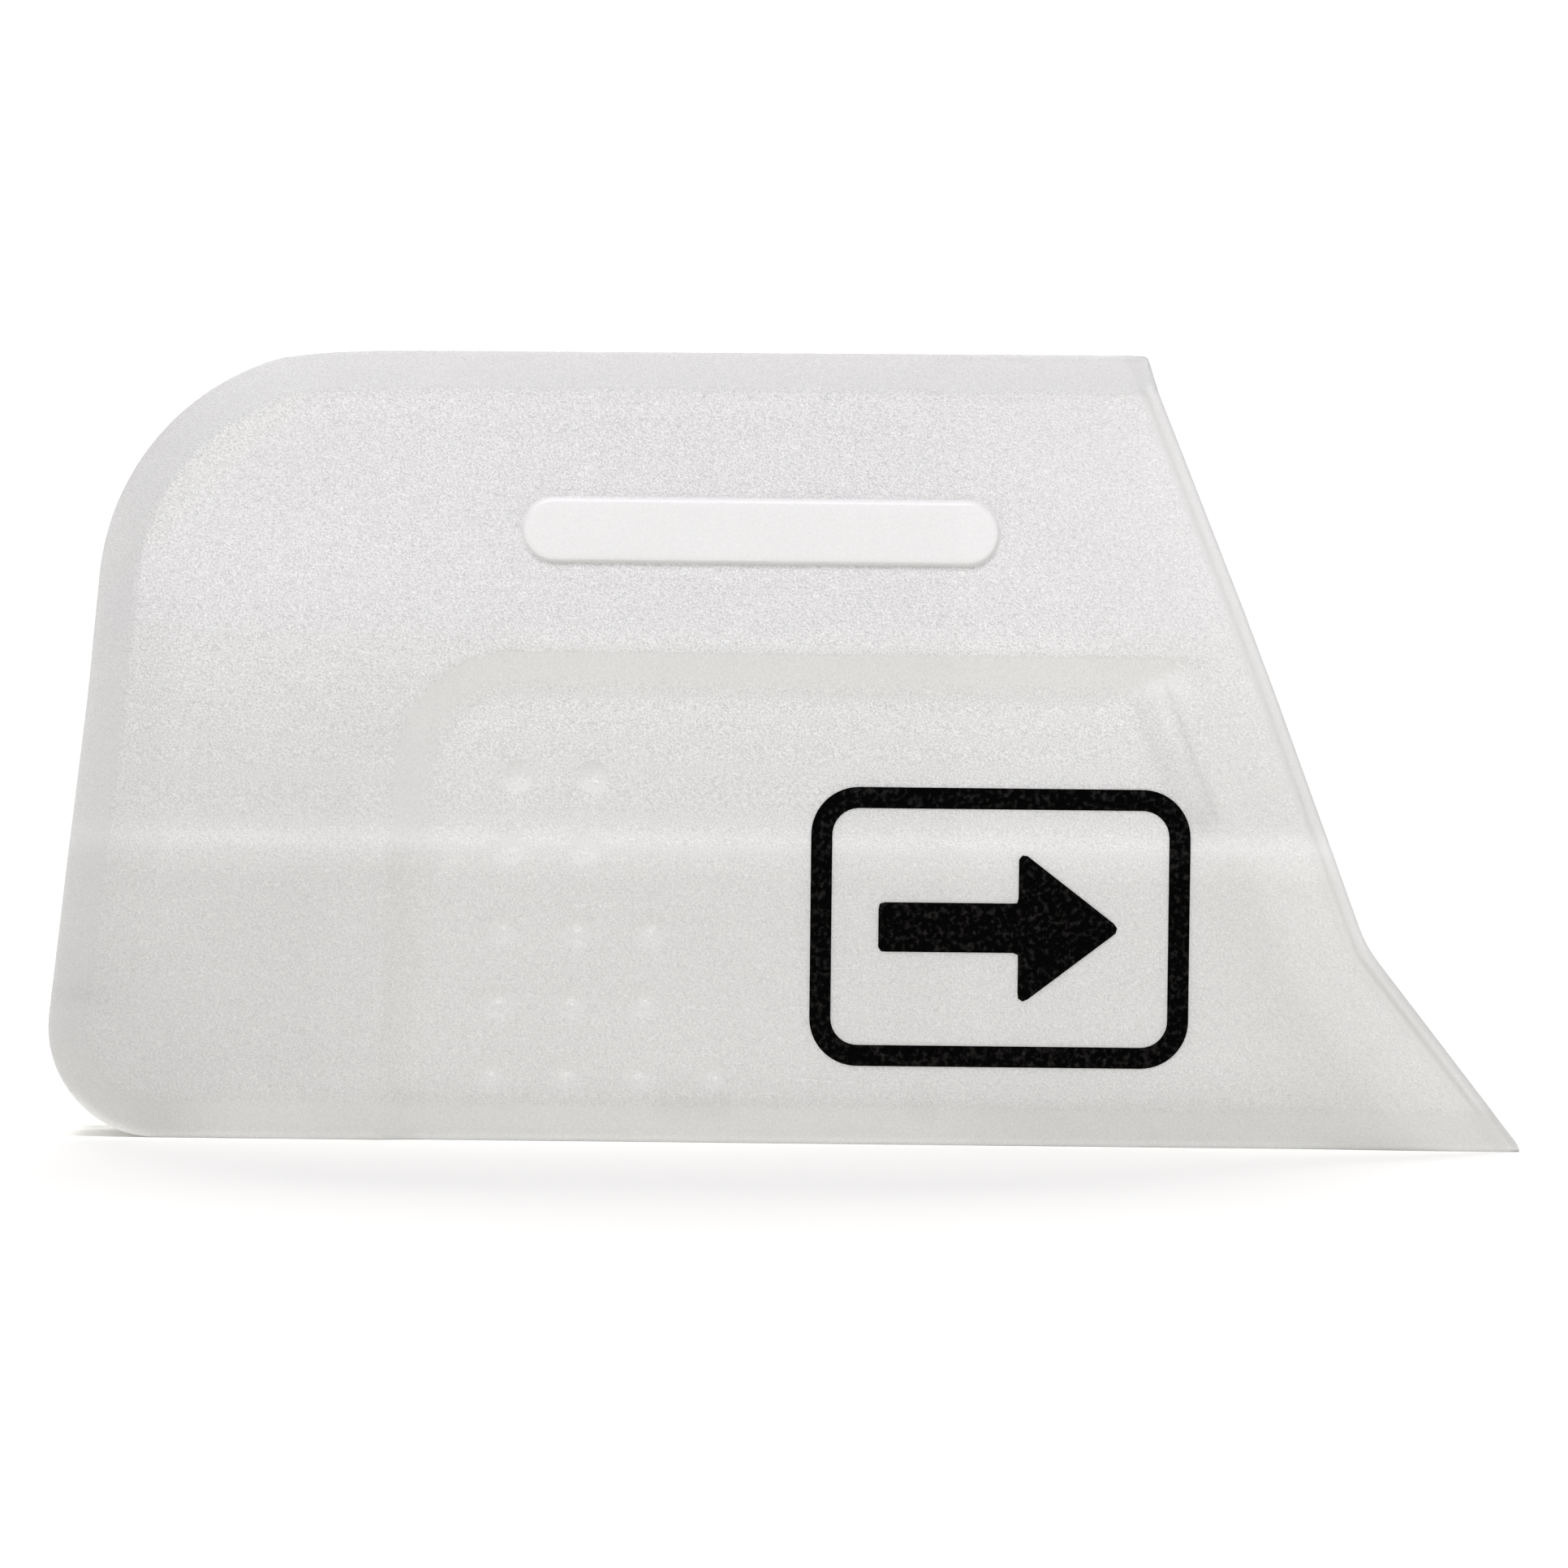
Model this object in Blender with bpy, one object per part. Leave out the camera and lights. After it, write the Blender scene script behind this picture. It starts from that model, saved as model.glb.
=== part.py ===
"""A push-on cap for the blade of a hand knife.

Two translucent half shells meet on the mid-plane with a stepped lap joint and
form a flat pocket that is open at one slanted end, the mouth. The front shell
carries a film of black ink.

Frame: X runs from the closed end (-X) to the mouth (+X), Z is up from the long
straight edge wall that the cap stands on, and Y is the thickness, with the
front shell towards -Y. The origin is the middle of the footprint, on the floor.

All driving dimensions are in millimetres. In the drawing coordinates used by
the outlines, x is measured from the closed end and z from the edge wall.
"""

import math

import bmesh
import bpy
from mathutils import Vector

MM = 0.001

# Side outline: corners of the drawing (x, z) and the radius of each corner.
EDGE_HEEL = (-0.767, 0.0, 6.0)  # edge wall meets the leaning closed end
END_WAIST = (1.964, 24.24, 60.0)  # the closed end straightens here
SPINE_CORNER = (3.197, 39.734, 13.64)  # the big corner of the spine
SPINE_SHOULDER = (12.25, 42.50, 3.0)
SPINE_RISE = (14.3, 42.76, 6.0)
SPINE_START = (17.5, 42.94, 20.0)
SPINE_END_Z = 43.25
OVERRUN = 97.0  # the outline runs past the mouth and is cut there

# Mouth: its edge from the tip at the edge wall up to the spine.
TIP_X = 80.0
TIP_FLAT = 0.28
MOUTH_KINK = (71.47, 11.18, 7.0)
MOUTH_BELLY = (65.50, 27.20, 200.0)
MOUTH_NECK = (59.86, 41.30, 1.5)
MOUTH_TOP = (59.40, 42.95, 0.3)

# Half thickness of the body over height: (z, half thickness), straight between.
PROFILE = (
    (-6.0, 6.04),
    (0.0, 6.67),  # edge wall
    (16.0, 8.35),  # ridge
    (17.3, 8.15),  # top of the ridge's short slope
    (20.5, 8.08),
    (24.0, 7.86),
    (28.0, 7.38),  # brow
    (31.0, 6.83),
    (46.0, 3.64),  # above the spine
)

BORDER = 2.1  # width of the bevelled border round the closed sides
BORDER_DROP = 0.5  # how far it falls towards the outline
WALL = 2.1
GATE_CUT = 0.08  # flat left by the moulding gate on the heel corner

# Thumb grip sunk into each face.
GRIP_DEPTH = 0.9
GRIP_TOP = 26.7
GRIP_BOTTOM = -12.0  # the grip runs down across the edge wall
GRIP_SIDE_TOP = 18.9
GRIP_SIDE_BOTTOM = 17.2
GRIP_CORNER = 6.6
GRIP_SLOPE = 2.2  # width of the sloped side of the grip
# Depth left at each distance from the mouth edge: the grip runs out there.
GRIP_FADE = ((9.0, 1.0), (7.6, 0.9), (6.2, 0.62), (4.8, 0.3), (3.5, 0.06), (2.6, -0.12))

# Dimples: rows as (z, first x, count).
DIMPLE_ROWS = (
    (19.90, 25.40, 2),
    (15.96, 25.00, 2),
    (11.50, 24.60, 3),
    (7.56, 24.30, 3),
    (3.75, 24.00, 4),
)
DIMPLE_PITCH = 4.0
DIMPLE_DIAMETER = 1.7
DIMPLE_DEPTH = 0.08

# Lap joint on the mid-plane.
SEAM_GAP = 0.3
LAP_INSET = 1.2
LAP_HEIGHT = 1.0

# Blade guide: the faces are thicker inside this outline.
GUIDE_WALL = 3.2
GUIDE_LEFT = 3.7
GUIDE_RIGHT = 49.1
GUIDE_TOP = 39.5
GUIDE_BOTTOM = 3.9
GUIDE_CORNER = 1.5

# Snap rib inside each face, parallel to the mouth.
SNAP_TOP = (59.9, 24.7)
SNAP_BOTTOM = (62.6, 17.7)
SNAP_RADIUS = 1.05
SNAP_HEIGHT = 0.6

# Mouth lip: raised outside, stepped back inside as a lead-in.
LIP_WIDTH = 0.75
LIP_RISE = 0.12
LEAD_WIDTH = 1.2
LEAD_IN = 0.6

# Blank raised field on the upper facet.
FIELD_CENTRE = (38.4, 33.3)
FIELD_SIZE = (26.0, 3.5)
FIELD_RISE = 0.2

# Printed arrow in a rounded frame.
PRINT_CENTRE = (51.6, 11.9)
PRINT_FRAME = (20.6, 15.2)
PRINT_STROKE = 1.15
PRINT_CORNER = 2.6
PRINT_FILM = 0.1
PRINT_CLEAR = 0.05


def clear_scene():
    for ob in list(bpy.data.objects):
        bpy.data.objects.remove(ob, do_unlink=True)


def new_collection(name):
    made = bpy.data.collections.new(name)
    bpy.context.scene.collection.children.link(made)
    return made


# ---------------------------------------------------------------- outlines


def rounded(corners, turn=7.0):
    """Points of a closed polygon whose corners (x, z, radius) are rounded."""
    count = len(corners)
    at = [Vector(c[:2]) for c in corners]
    bends, reach = [], []
    for i in range(count):
        d_in = (at[i] - at[i - 1]).normalized()
        d_out = (at[(i + 1) % count] - at[i]).normalized()
        angle = math.atan2(d_in.x * d_out.y - d_in.y * d_out.x, d_in.dot(d_out))
        bends.append((d_in, d_out, angle))
        reach.append(corners[i][2] * math.tan(abs(angle) / 2))
    for i in range(count):  # two neighbours share the edge between them
        j = (i + 1) % count
        most = (at[j] - at[i]).length * 0.998
        if reach[i] + reach[j] > most:
            share = most / (reach[i] + reach[j])
            reach[i], reach[j] = reach[i] * share, reach[j] * share
    points = []
    for here, (d_in, d_out, angle), tangent in zip(at, bends, reach):
        if tangent <= 0 or abs(angle) < math.radians(0.4):
            points.append((here.x, here.y))
            continue
        side = 1 if angle > 0 else -1
        start = here - d_in * tangent
        normal = Vector((-d_in.y, d_in.x)) * side
        centre = start + normal * (tangent / math.tan(abs(angle) / 2))
        steps = max(1, round(math.degrees(abs(angle)) / turn))
        spoke = start - centre
        for k in range(steps + 1):
            a = angle * k / steps
            points.append(
                (
                    centre.x + spoke.x * math.cos(a) - spoke.y * math.sin(a),
                    centre.y + spoke.x * math.sin(a) + spoke.y * math.cos(a),
                )
            )
    return points


def inset(corners, distance):
    """A counter-clockwise polygon moved inwards, its corner radii with it."""
    count = len(corners)
    lines = []
    for i in range(count):
        a = Vector(corners[i][:2])
        b = Vector(corners[(i + 1) % count][:2])
        d = (b - a).normalized()
        n = Vector((-d.y, d.x))
        lines.append((a + n * distance, d))
    moved = []
    for i in range(count):
        p, d = lines[i - 1]
        q, e = lines[i]
        cross = d.x * e.y - d.y * e.x
        t = ((q - p).x * e.y - (q - p).y * e.x) / cross
        at = p + d * t
        change = -distance if cross > 0 else distance
        radius = corners[i][2]
        moved.append((at.x, at.y, max(radius + change, 0.25) if radius else 0))
    return moved


BODY = [
    EDGE_HEEL,
    (OVERRUN, 0.0, 0.0),
    (OVERRUN, SPINE_END_Z, 0.0),
    SPINE_START,
    SPINE_RISE,
    SPINE_SHOULDER,
    SPINE_CORNER,
    END_WAIST,
]

MOUTH = [
    (120.0, -4.0, 0.0),
    (120.0, 48.0, 0.0),
    (58.6, 48.0, 0.0),
    (58.6, 43.30, 0.0),
    MOUTH_TOP,
    MOUTH_NECK,
    MOUTH_BELLY,
    MOUTH_KINK,
    (TIP_X, TIP_FLAT, 0.0),
    (TIP_X, -4.0, 0.0),
]


def mouth_x(z):
    """x of the mouth edge at a height, on its straight runs."""
    runs = [
        (-4.0, 83.35),
        (0.0, 80.22),
        (11.18, 71.47),
        (27.2, 65.5),
        (41.3, 59.86),
        (48.0, 57.1),
    ]
    for (z0, x0), (z1, x1) in zip(runs, runs[1:]):
        if z <= z1:
            return x0 + (x1 - x0) * (z - z0) / (z1 - z0)
    return runs[-1][1]


X_SHIFT = -(min(p[0] for p in rounded(BODY)) + TIP_X) / 2


# ------------------------------------------------------- thickness profile


def half_thickness(z):
    for (z0, h0), (z1, h1) in zip(PROFILE, PROFILE[1:]):
        if z <= z1:
            break
    return h0 + (h1 - h0) * (z - z0) / (z1 - z0)


def edge_half(z):
    """The same, less the bevelled border that runs along the edge wall."""
    return half_thickness(z) - BORDER_DROP * min(1.0, max(0.0, 1.0 - z / BORDER))


# ------------------------------------------------------------------ solids


def link(name, mesh, collection):
    ob = bpy.data.objects.new(name, mesh)
    collection.objects.link(ob)
    if collection is TOOLS:
        ob.hide_render = True
        ob.display_type = "WIRE"
    return ob


def curve_mesh(curve):
    """The closed mesh of a filled, extruded 2D curve."""
    holder = bpy.data.objects.new("outline", curve)
    bpy.context.scene.collection.objects.link(holder)
    bpy.context.view_layer.update()
    graph = bpy.context.evaluated_depsgraph_get()
    mesh = bpy.data.meshes.new_from_object(holder.evaluated_get(graph))
    bpy.data.objects.remove(holder, do_unlink=True)
    bpy.data.curves.remove(curve)
    bm = bmesh.new()
    bm.from_mesh(mesh)
    bmesh.ops.remove_doubles(bm, verts=bm.verts, dist=1e-6)
    bmesh.ops.dissolve_limit(
        bm, angle_limit=math.radians(0.05), verts=bm.verts, edges=bm.edges
    )
    bmesh.ops.recalc_face_normals(bm, faces=bm.faces)
    bm.to_mesh(mesh)
    bm.free()
    return mesh


def plate(name, outlines, y0, y1, collection):
    """A plate lying in XZ between y0 and y1, from one or more outlines."""
    curve = bpy.data.curves.new(name, "CURVE")
    curve.dimensions = "2D"
    curve.fill_mode = "BOTH"
    curve.extrude = (y1 - y0) / 2 * MM
    for outline in outlines:
        spline = curve.splines.new("POLY")
        spline.points.add(len(outline) - 1)
        for point, (x, z) in zip(spline.points, outline):
            point.co = (x * MM, z * MM, 0.0, 1.0)
        spline.use_cyclic_u = True
    mesh = curve_mesh(curve)
    mid = (y0 + y1) / 2
    for v in mesh.vertices:
        x, z, y = v.co
        v.co = (x + X_SHIFT * MM, mid * MM - y, z)
    return link(name, mesh, collection)


def slab(name, rings, collection):
    """A loft symmetric about the mid-plane. Each ring is [(x, half, z)]."""
    bm = bmesh.new()
    grid = []
    for ring in rings:
        near = [bm.verts.new(((x + X_SHIFT) * MM, -h * MM, z * MM)) for x, h, z in ring]
        far = [bm.verts.new(((x + X_SHIFT) * MM, h * MM, z * MM)) for x, h, z in ring]
        grid.append((near, far))
    for (near, far), (near_b, far_b) in zip(grid, grid[1:]):
        for i in range(len(near) - 1):
            bm.faces.new((near[i], near_b[i], near_b[i + 1], near[i + 1]))
            bm.faces.new((far[i], far[i + 1], far_b[i + 1], far_b[i]))
        bm.faces.new((near[0], far[0], far_b[0], near_b[0]))
        bm.faces.new((near[-1], near_b[-1], far_b[-1], far[-1]))
    for near, far in (grid[0], grid[-1]):
        for i in range(len(near) - 1):
            bm.faces.new((near[i], near[i + 1], far[i + 1], far[i]))
    bmesh.ops.recalc_face_normals(bm, faces=bm.faces)
    mesh = bpy.data.meshes.new(name)
    bm.to_mesh(mesh)
    bm.free()
    return link(name, mesh, collection)


def profile_slab(name, offset, x0=-20.0, x1=110.0):
    """The body's thickness profile, moved in or out by offset."""
    rings = [[(x, h + offset, z) for z, h in PROFILE] for x in (x0, x1)]
    return slab(name, rings, TOOLS)


def mouth_slab(name, stations, half=half_thickness):
    """A slab whose sections follow the mouth. stations: (distance, offset)."""
    heights = sorted({z for z, _ in PROFILE} | {0.0, BORDER, 11.18, 41.3})
    rings = []
    for distance, offset in stations:
        if distance is None:
            rings.append([(-20.0, half(z) + offset, z) for z in heights])
        else:
            reach = distance / math.cos(math.radians(20.6))
            rings.append([(mouth_x(z) - reach, half(z) + offset, z) for z in heights])
    return slab(name, rings, TOOLS)


def grip_floor(name, offset):
    """The floor of the grip as a slab, which rises to the face at the mouth."""
    stations = [(None, offset - GRIP_DEPTH)]
    stations += [(d, offset - GRIP_DEPTH * part) for d, part in GRIP_FADE]
    stations.append((-6.0, offset + 0.12 * GRIP_DEPTH))
    return mouth_slab(name, stations, edge_half)


def stack(name, layers, collection):
    """A closed solid from rings of equal length, each [(x, y, z)], in order."""
    bm = bmesh.new()
    made = [
        [bm.verts.new(((x + X_SHIFT) * MM, y * MM, z * MM)) for x, y, z in layer]
        for layer in layers
    ]
    count = len(made[0])
    for a, b in zip(made, made[1:]):
        for i in range(count):
            j = (i + 1) % count
            bm.faces.new((a[i], a[j], b[j], b[i]))
    bmesh.ops.triangulate(bm, faces=bm.faces)
    bm.faces.new(made[0])
    bm.faces.new(made[-1])
    bmesh.ops.recalc_face_normals(bm, faces=bm.faces)
    mesh = bpy.data.meshes.new(name)
    bm.to_mesh(mesh)
    bm.free()
    return link(name, mesh, collection)


def split_at(outline, heights):
    """The outline with points added where its long edges pass the heights."""
    points = []
    for (x0, z0), (x1, z1) in zip(outline, outline[1:] + outline[:1]):
        points.append((x0, z0))
        if abs(z1 - z0) < 8.0:
            continue
        between = [z for z in heights if min(z0, z1) + 0.05 < z < max(z0, z1) - 0.05]
        for z in sorted(between, reverse=z1 < z0):
            points.append((x0 + (x1 - x0) * (z - z0) / (z1 - z0), z))
    return points


def boolean(ob, tool, how):
    modifier = ob.modifiers.new(f"{how.lower()} {tool.name}", "BOOLEAN")
    modifier.operation = how
    modifier.object = tool
    modifier.solver = "EXACT"
    return ob


def blank(name):
    """The body's outline with faces that fall away along its border.

    The faces run on above the border, where the thickness profile cuts them.
    """
    # a little off the profile's own knots, so that no two edges end in a point
    heights = [z + 0.13 for z, _ in PROFILE if 8.0 < z < 22.0]
    above = 0.42
    outer = split_at(rounded(BODY), heights)
    inner = split_at(rounded(inset(BODY, BORDER + above)), heights)
    rim = [half_thickness(z) - BORDER_DROP for _, z in outer]
    top = [half_thickness(z) + BORDER_DROP * above / BORDER for _, z in inner]
    layers = []
    for side in (-1, 1):
        level = [
            [(x, side * 14.0, z) for x, z in inner],
            [(x, side * y, z) for (x, z), y in zip(inner, top)],
            [(x, side * y, z) for (x, z), y in zip(outer, rim)],
        ]
        layers += level if side < 0 else level[::-1]
    return stack(name, layers, PARTS)


def grip_plug(name, side):
    """The tapered plug of the grip on one face, before its floor is kept."""
    heights = [z for z, _ in PROFILE if z < 20.0] + [BORDER]
    far = OVERRUN + 4.0
    brim_outline = rounded(
        [
            (GRIP_SIDE_BOTTOM, GRIP_BOTTOM, 0.0),
            (far, GRIP_BOTTOM, 0.0),
            (far, GRIP_TOP, 0.0),
            (GRIP_SIDE_TOP, GRIP_TOP, GRIP_CORNER),
        ]
    )
    foot_outline = rounded(
        [
            (GRIP_SIDE_BOTTOM + GRIP_SLOPE, GRIP_BOTTOM, 0.0),
            (far, GRIP_BOTTOM, 0.0),
            (far, GRIP_TOP - GRIP_SLOPE, 0.0),
            (GRIP_SIDE_TOP + GRIP_SLOPE, GRIP_TOP - GRIP_SLOPE, GRIP_CORNER - GRIP_SLOPE),
        ]
    )
    brim = split_at(brim_outline, heights)
    foot = split_at(foot_outline, heights)
    layers = [
        [(x, side * 14.0, z) for x, z in brim],
        [(x, side * (edge_half(z) + 0.02), z) for x, z in brim],
        [(x, side * (edge_half(z) - GRIP_DEPTH - 0.02), z) for x, z in foot],
        [(x, side * 3.5, z) for x, z in foot],
    ]
    return stack(name, layers, TOOLS)


def dimples(name, side):
    """Flat buttons that press the dimples into the floor of the grip."""
    above = 0.06
    thick = DIMPLE_DEPTH + above
    wide = DIMPLE_DIAMETER / 2 / math.sqrt(1 - (above / thick) ** 2)
    bm = bmesh.new()
    for z, first, count in DIMPLE_ROWS:
        for k in range(count):
            x = first + DIMPLE_PITCH * k
            made = bmesh.ops.create_icosphere(bm, subdivisions=2, radius=1.0)
            for v in made["verts"]:
                here = z + v.co.z * wide
                y = half_thickness(here) - GRIP_DEPTH + above + v.co.y * thick
                v.co = ((x + v.co.x * wide + X_SHIFT) * MM, side * y * MM, here * MM)
    bmesh.ops.recalc_face_normals(bm, faces=bm.faces)
    mesh = bpy.data.meshes.new(name)
    bm.to_mesh(mesh)
    bm.free()
    return link(name, mesh, TOOLS)


def snap_rib(name, side):
    """A bar with round ends along the slanted line of the snap rib."""
    y0, y1 = (-14.0, -1.0) if side < 0 else (1.0, 14.0)
    top, foot = Vector(SNAP_TOP), Vector(SNAP_BOTTOM)
    along = (top - foot).normalized()
    across = Vector((-along.y, along.x))
    outline = []
    for end, lean in ((foot, 180.0), (top, 0.0)):
        for k in range(7):
            a = math.radians(lean + 30.0 * k)
            p = end + across * (-math.cos(a) * SNAP_RADIUS) + along * (math.sin(a) * SNAP_RADIUS)
            outline.append((p.x, p.y))
    ob = plate(name, [outline], y0, y1, TOOLS)
    boolean(ob, profile_slab(f"{name}_root", -1.6), "INTERSECT")
    boolean(ob, profile_slab(f"{name}_crest", -WALL - SNAP_HEIGHT), "DIFFERENCE")
    return ob


def guide(name, side):
    """The thickened blade guide with its ribs, as a curved plate."""
    y0, y1 = (-14.0, -1.0) if side < 0 else (1.0, 14.0)
    pad = [
        (GUIDE_LEFT, GUIDE_BOTTOM, 3.0),
        (GUIDE_RIGHT, GUIDE_BOTTOM, GUIDE_CORNER),
        (GUIDE_RIGHT, GUIDE_TOP, GUIDE_CORNER),
        (15.5, GUIDE_TOP, 4.0),
        (8.2, 36.2, 6.0),
        (5.9, 28.0, 6.0),
    ]
    plate_ob = plate(name, [rounded(pad, 15.0)], y0, y1, TOOLS)
    for label, x0, x1, z0, z1 in (
        ("edge_rib_a", 33.0, 37.0, 1.2, 6.0),
        ("edge_rib_b", 46.6, 48.4, 1.2, 6.0),
        ("end_rib", 1.3, 7.5, 7.3, 8.3),
    ):
        rib = plate(
            f"{name}_{label}",
            [[(x0, z0), (x1, z0), (x1, z1), (x0, z1)]],
            y0 - side * 0.4,
            y1 - side * 0.4,
            TOOLS,
        )
        boolean(plate_ob, rib, "UNION")
    boolean(plate_ob, profile_slab(f"{name}_outer", -1.5), "INTERSECT")
    boolean(plate_ob, profile_slab(f"{name}_inner", -GUIDE_WALL), "DIFFERENCE")
    return plate_ob


def capsule_outline(centre, size):
    """A flat bar with round ends."""
    w, h = size[0] / 2, size[1] / 2
    x, z = centre
    return rounded(
        [(x - w, z - h, h), (x + w, z - h, h), (x + w, z + h, h), (x - w, z + h, h)],
        22.5,
    )


def raised_field(name):
    ob = plate(name, [capsule_outline(FIELD_CENTRE, FIELD_SIZE)], -14.0, -2.0, TOOLS)
    boolean(ob, profile_slab(f"{name}_top", FIELD_RISE), "INTERSECT")
    boolean(ob, profile_slab(f"{name}_root", -0.7), "DIFFERENCE")
    return ob


def mouth_lip(name, side):
    """The raised lip on one face, and its sunk root in the face."""
    y0, y1 = (-14.0, -2.0) if side < 0 else (2.0, 14.0)
    ob = plate(name, [rounded(inset(BODY, BORDER - 0.3))], y0, y1, TOOLS)
    boolean(
        ob,
        mouth_slab(
            f"{name}_band",
            [(LIP_WIDTH + 0.35, -0.5), (LIP_WIDTH, LIP_RISE), (-6.0, LIP_RISE)],
        ),
        "INTERSECT",
    )
    boolean(ob, profile_slab(f"{name}_root", -0.9), "DIFFERENCE")
    return ob


def cavity(name):
    """The pocket: the closed sides' walls moved in, and the faces' walls."""
    ob = plate(name, [rounded(inset(BODY, WALL))], -14.0, 14.0, TOOLS)
    boolean(ob, profile_slab(f"{name}_faces", -WALL), "INTERSECT")
    return ob


def lead_in(name):
    ob = plate(name, [rounded(inset(BODY, WALL - 0.4))], -14.0, 14.0, TOOLS)
    boolean(
        ob,
        mouth_slab(f"{name}_faces", [(LEAD_WIDTH, LEAD_IN - WALL), (-6.0, LEAD_IN - WALL)]),
        "INTERSECT",
    )
    return ob


def gate_flat(name):
    """A block that leaves the small flat of the gate on the heel corner."""
    radius = EDGE_HEEL[2]
    centre = Vector(inset(BODY, radius)[0][:2])
    direction = Vector((-0.92, -1.0)).normalized()
    start = centre + direction * (radius - GATE_CUT)
    across = Vector((-direction.y, direction.x))
    block = [
        start - across * 3,
        start + across * 3,
        start + across * 3 + direction * 3,
        start - across * 3 + direction * 3,
    ]
    return plate(name, [[(p.x, p.y) for p in block]], -3.2, 3.2, TOOLS)


def finish_material(ob, colour, roughness):
    material = bpy.data.materials.new(ob.name)
    material.use_nodes = True
    shader = material.node_tree.nodes["Principled BSDF"]
    shader.inputs["Base Color"].default_value = (*colour, 1.0)
    shader.inputs["Roughness"].default_value = roughness
    shader.inputs["Metallic"].default_value = 0.0
    ob.data.materials.clear()
    ob.data.materials.append(material)
    ob.data.shade_smooth()
    ob.data.set_sharp_from_angle(angle=math.radians(9))


def half_shell(name, side):
    """One half of the cap. side is -1 for the front and 1 for the back."""
    front = side < 0
    ob = blank(name)
    boolean(ob, profile_slab(f"{name}_faces", 0.0), "INTERSECT")
    plug = grip_plug(f"{name}_grip", side)
    boolean(plug, grip_floor(f"{name}_grip_floor", 0.0), "DIFFERENCE")
    boolean(ob, plug, "DIFFERENCE")
    boolean(ob, dimples(f"{name}_dimples", side), "DIFFERENCE")
    boolean(ob, mouth_lip(f"{name}_lip", side), "UNION")
    if front:
        boolean(ob, raised_field(f"{name}_field"), "UNION")
    half = SEAM_GAP / 2
    box = [(-10.0, -10.0), (110.0, -10.0), (110.0, 55.0), (-10.0, 55.0)]
    keep_out = (-half, 20.0) if front else (-20.0, half)
    boolean(ob, plate(f"{name}_other_half", [box], *keep_out, TOOLS), "DIFFERENCE")
    if front:
        lap = [(min(x, 85.0), z) for x, z in rounded(inset(BODY, LAP_INSET))]
        lap_y = (-3.0, -half + LAP_HEIGHT)
        boolean(ob, plate(f"{name}_lap", [lap], *lap_y, TOOLS), "UNION")
    else:
        lap = rounded(inset(BODY, LAP_INSET - SEAM_GAP))
        lap_y = (-3.0, half + LAP_HEIGHT)
        boolean(ob, plate(f"{name}_lap", [lap], *lap_y, TOOLS), "DIFFERENCE")
    boolean(ob, cavity(f"{name}_cavity"), "DIFFERENCE")
    boolean(ob, guide(f"{name}_guide", side), "UNION")
    boolean(ob, snap_rib(f"{name}_snap", side), "UNION")
    boolean(ob, lead_in(f"{name}_lead_in"), "DIFFERENCE")
    boolean(ob, plate(f"{name}_mouth", [rounded(MOUTH)], -15.0, 15.0, TOOLS), "DIFFERENCE")
    boolean(ob, gate_flat(f"{name}_gate"), "DIFFERENCE")
    finish_material(ob, (0.84, 0.84, 0.83), 0.42)
    return ob


def ink_film(name, outlines):
    """One island of ink, lying on the floor of the front grip."""
    ob = plate(name, outlines, -14.0, -2.0, PARTS)
    film = PRINT_CLEAR + PRINT_FILM
    boolean(ob, grip_floor(f"{name}_top", film), "INTERSECT")
    boolean(ob, grip_floor(f"{name}_root", PRINT_CLEAR), "DIFFERENCE")
    finish_material(ob, (0.012, 0.012, 0.013), 0.5)
    return ob


def printed_frame(name):
    """The rounded frame round the arrow."""
    cx, cz = PRINT_CENTRE
    w, h = PRINT_FRAME[0] / 2, PRINT_FRAME[1] / 2
    r = PRINT_CORNER
    outer = [(cx - w, cz - h, r), (cx + w, cz - h, r), (cx + w, cz + h, r), (cx - w, cz + h, r)]
    inner = inset(outer, PRINT_STROKE)
    return ink_film(name, [rounded(outer, 11.25), rounded(inner, 15.0)])


def printed_arrow(name):
    """An arrow pointing the way the cap is pulled off."""
    cx, cz = PRINT_CENTRE
    reach, shaft, head, wing = 6.6, 1.35, 5.6, 4.3
    arrow = [
        (cx - reach, cz - shaft, 0.25),
        (cx + reach - head, cz - shaft, 0.15),
        (cx + reach - head, cz - wing, 0.3),
        (cx + reach, cz, 0.35),
        (cx + reach - head, cz + wing, 0.3),
        (cx + reach - head, cz + shaft, 0.15),
        (cx - reach, cz + shaft, 0.25),
    ]
    return ink_film(name, [rounded(arrow, 30.0)])


clear_scene()
PARTS = new_collection("blade_cap")
TOOLS = new_collection("construction")
half_shell("front_shell", -1)
half_shell("back_shell", 1)
printed_frame("printed_frame")
printed_arrow("printed_arrow")
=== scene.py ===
import math

import bmesh
import bpy
import numpy as np
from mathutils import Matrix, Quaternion, Vector
from mathutils.geometry import delaunay_2d_cdt


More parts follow.
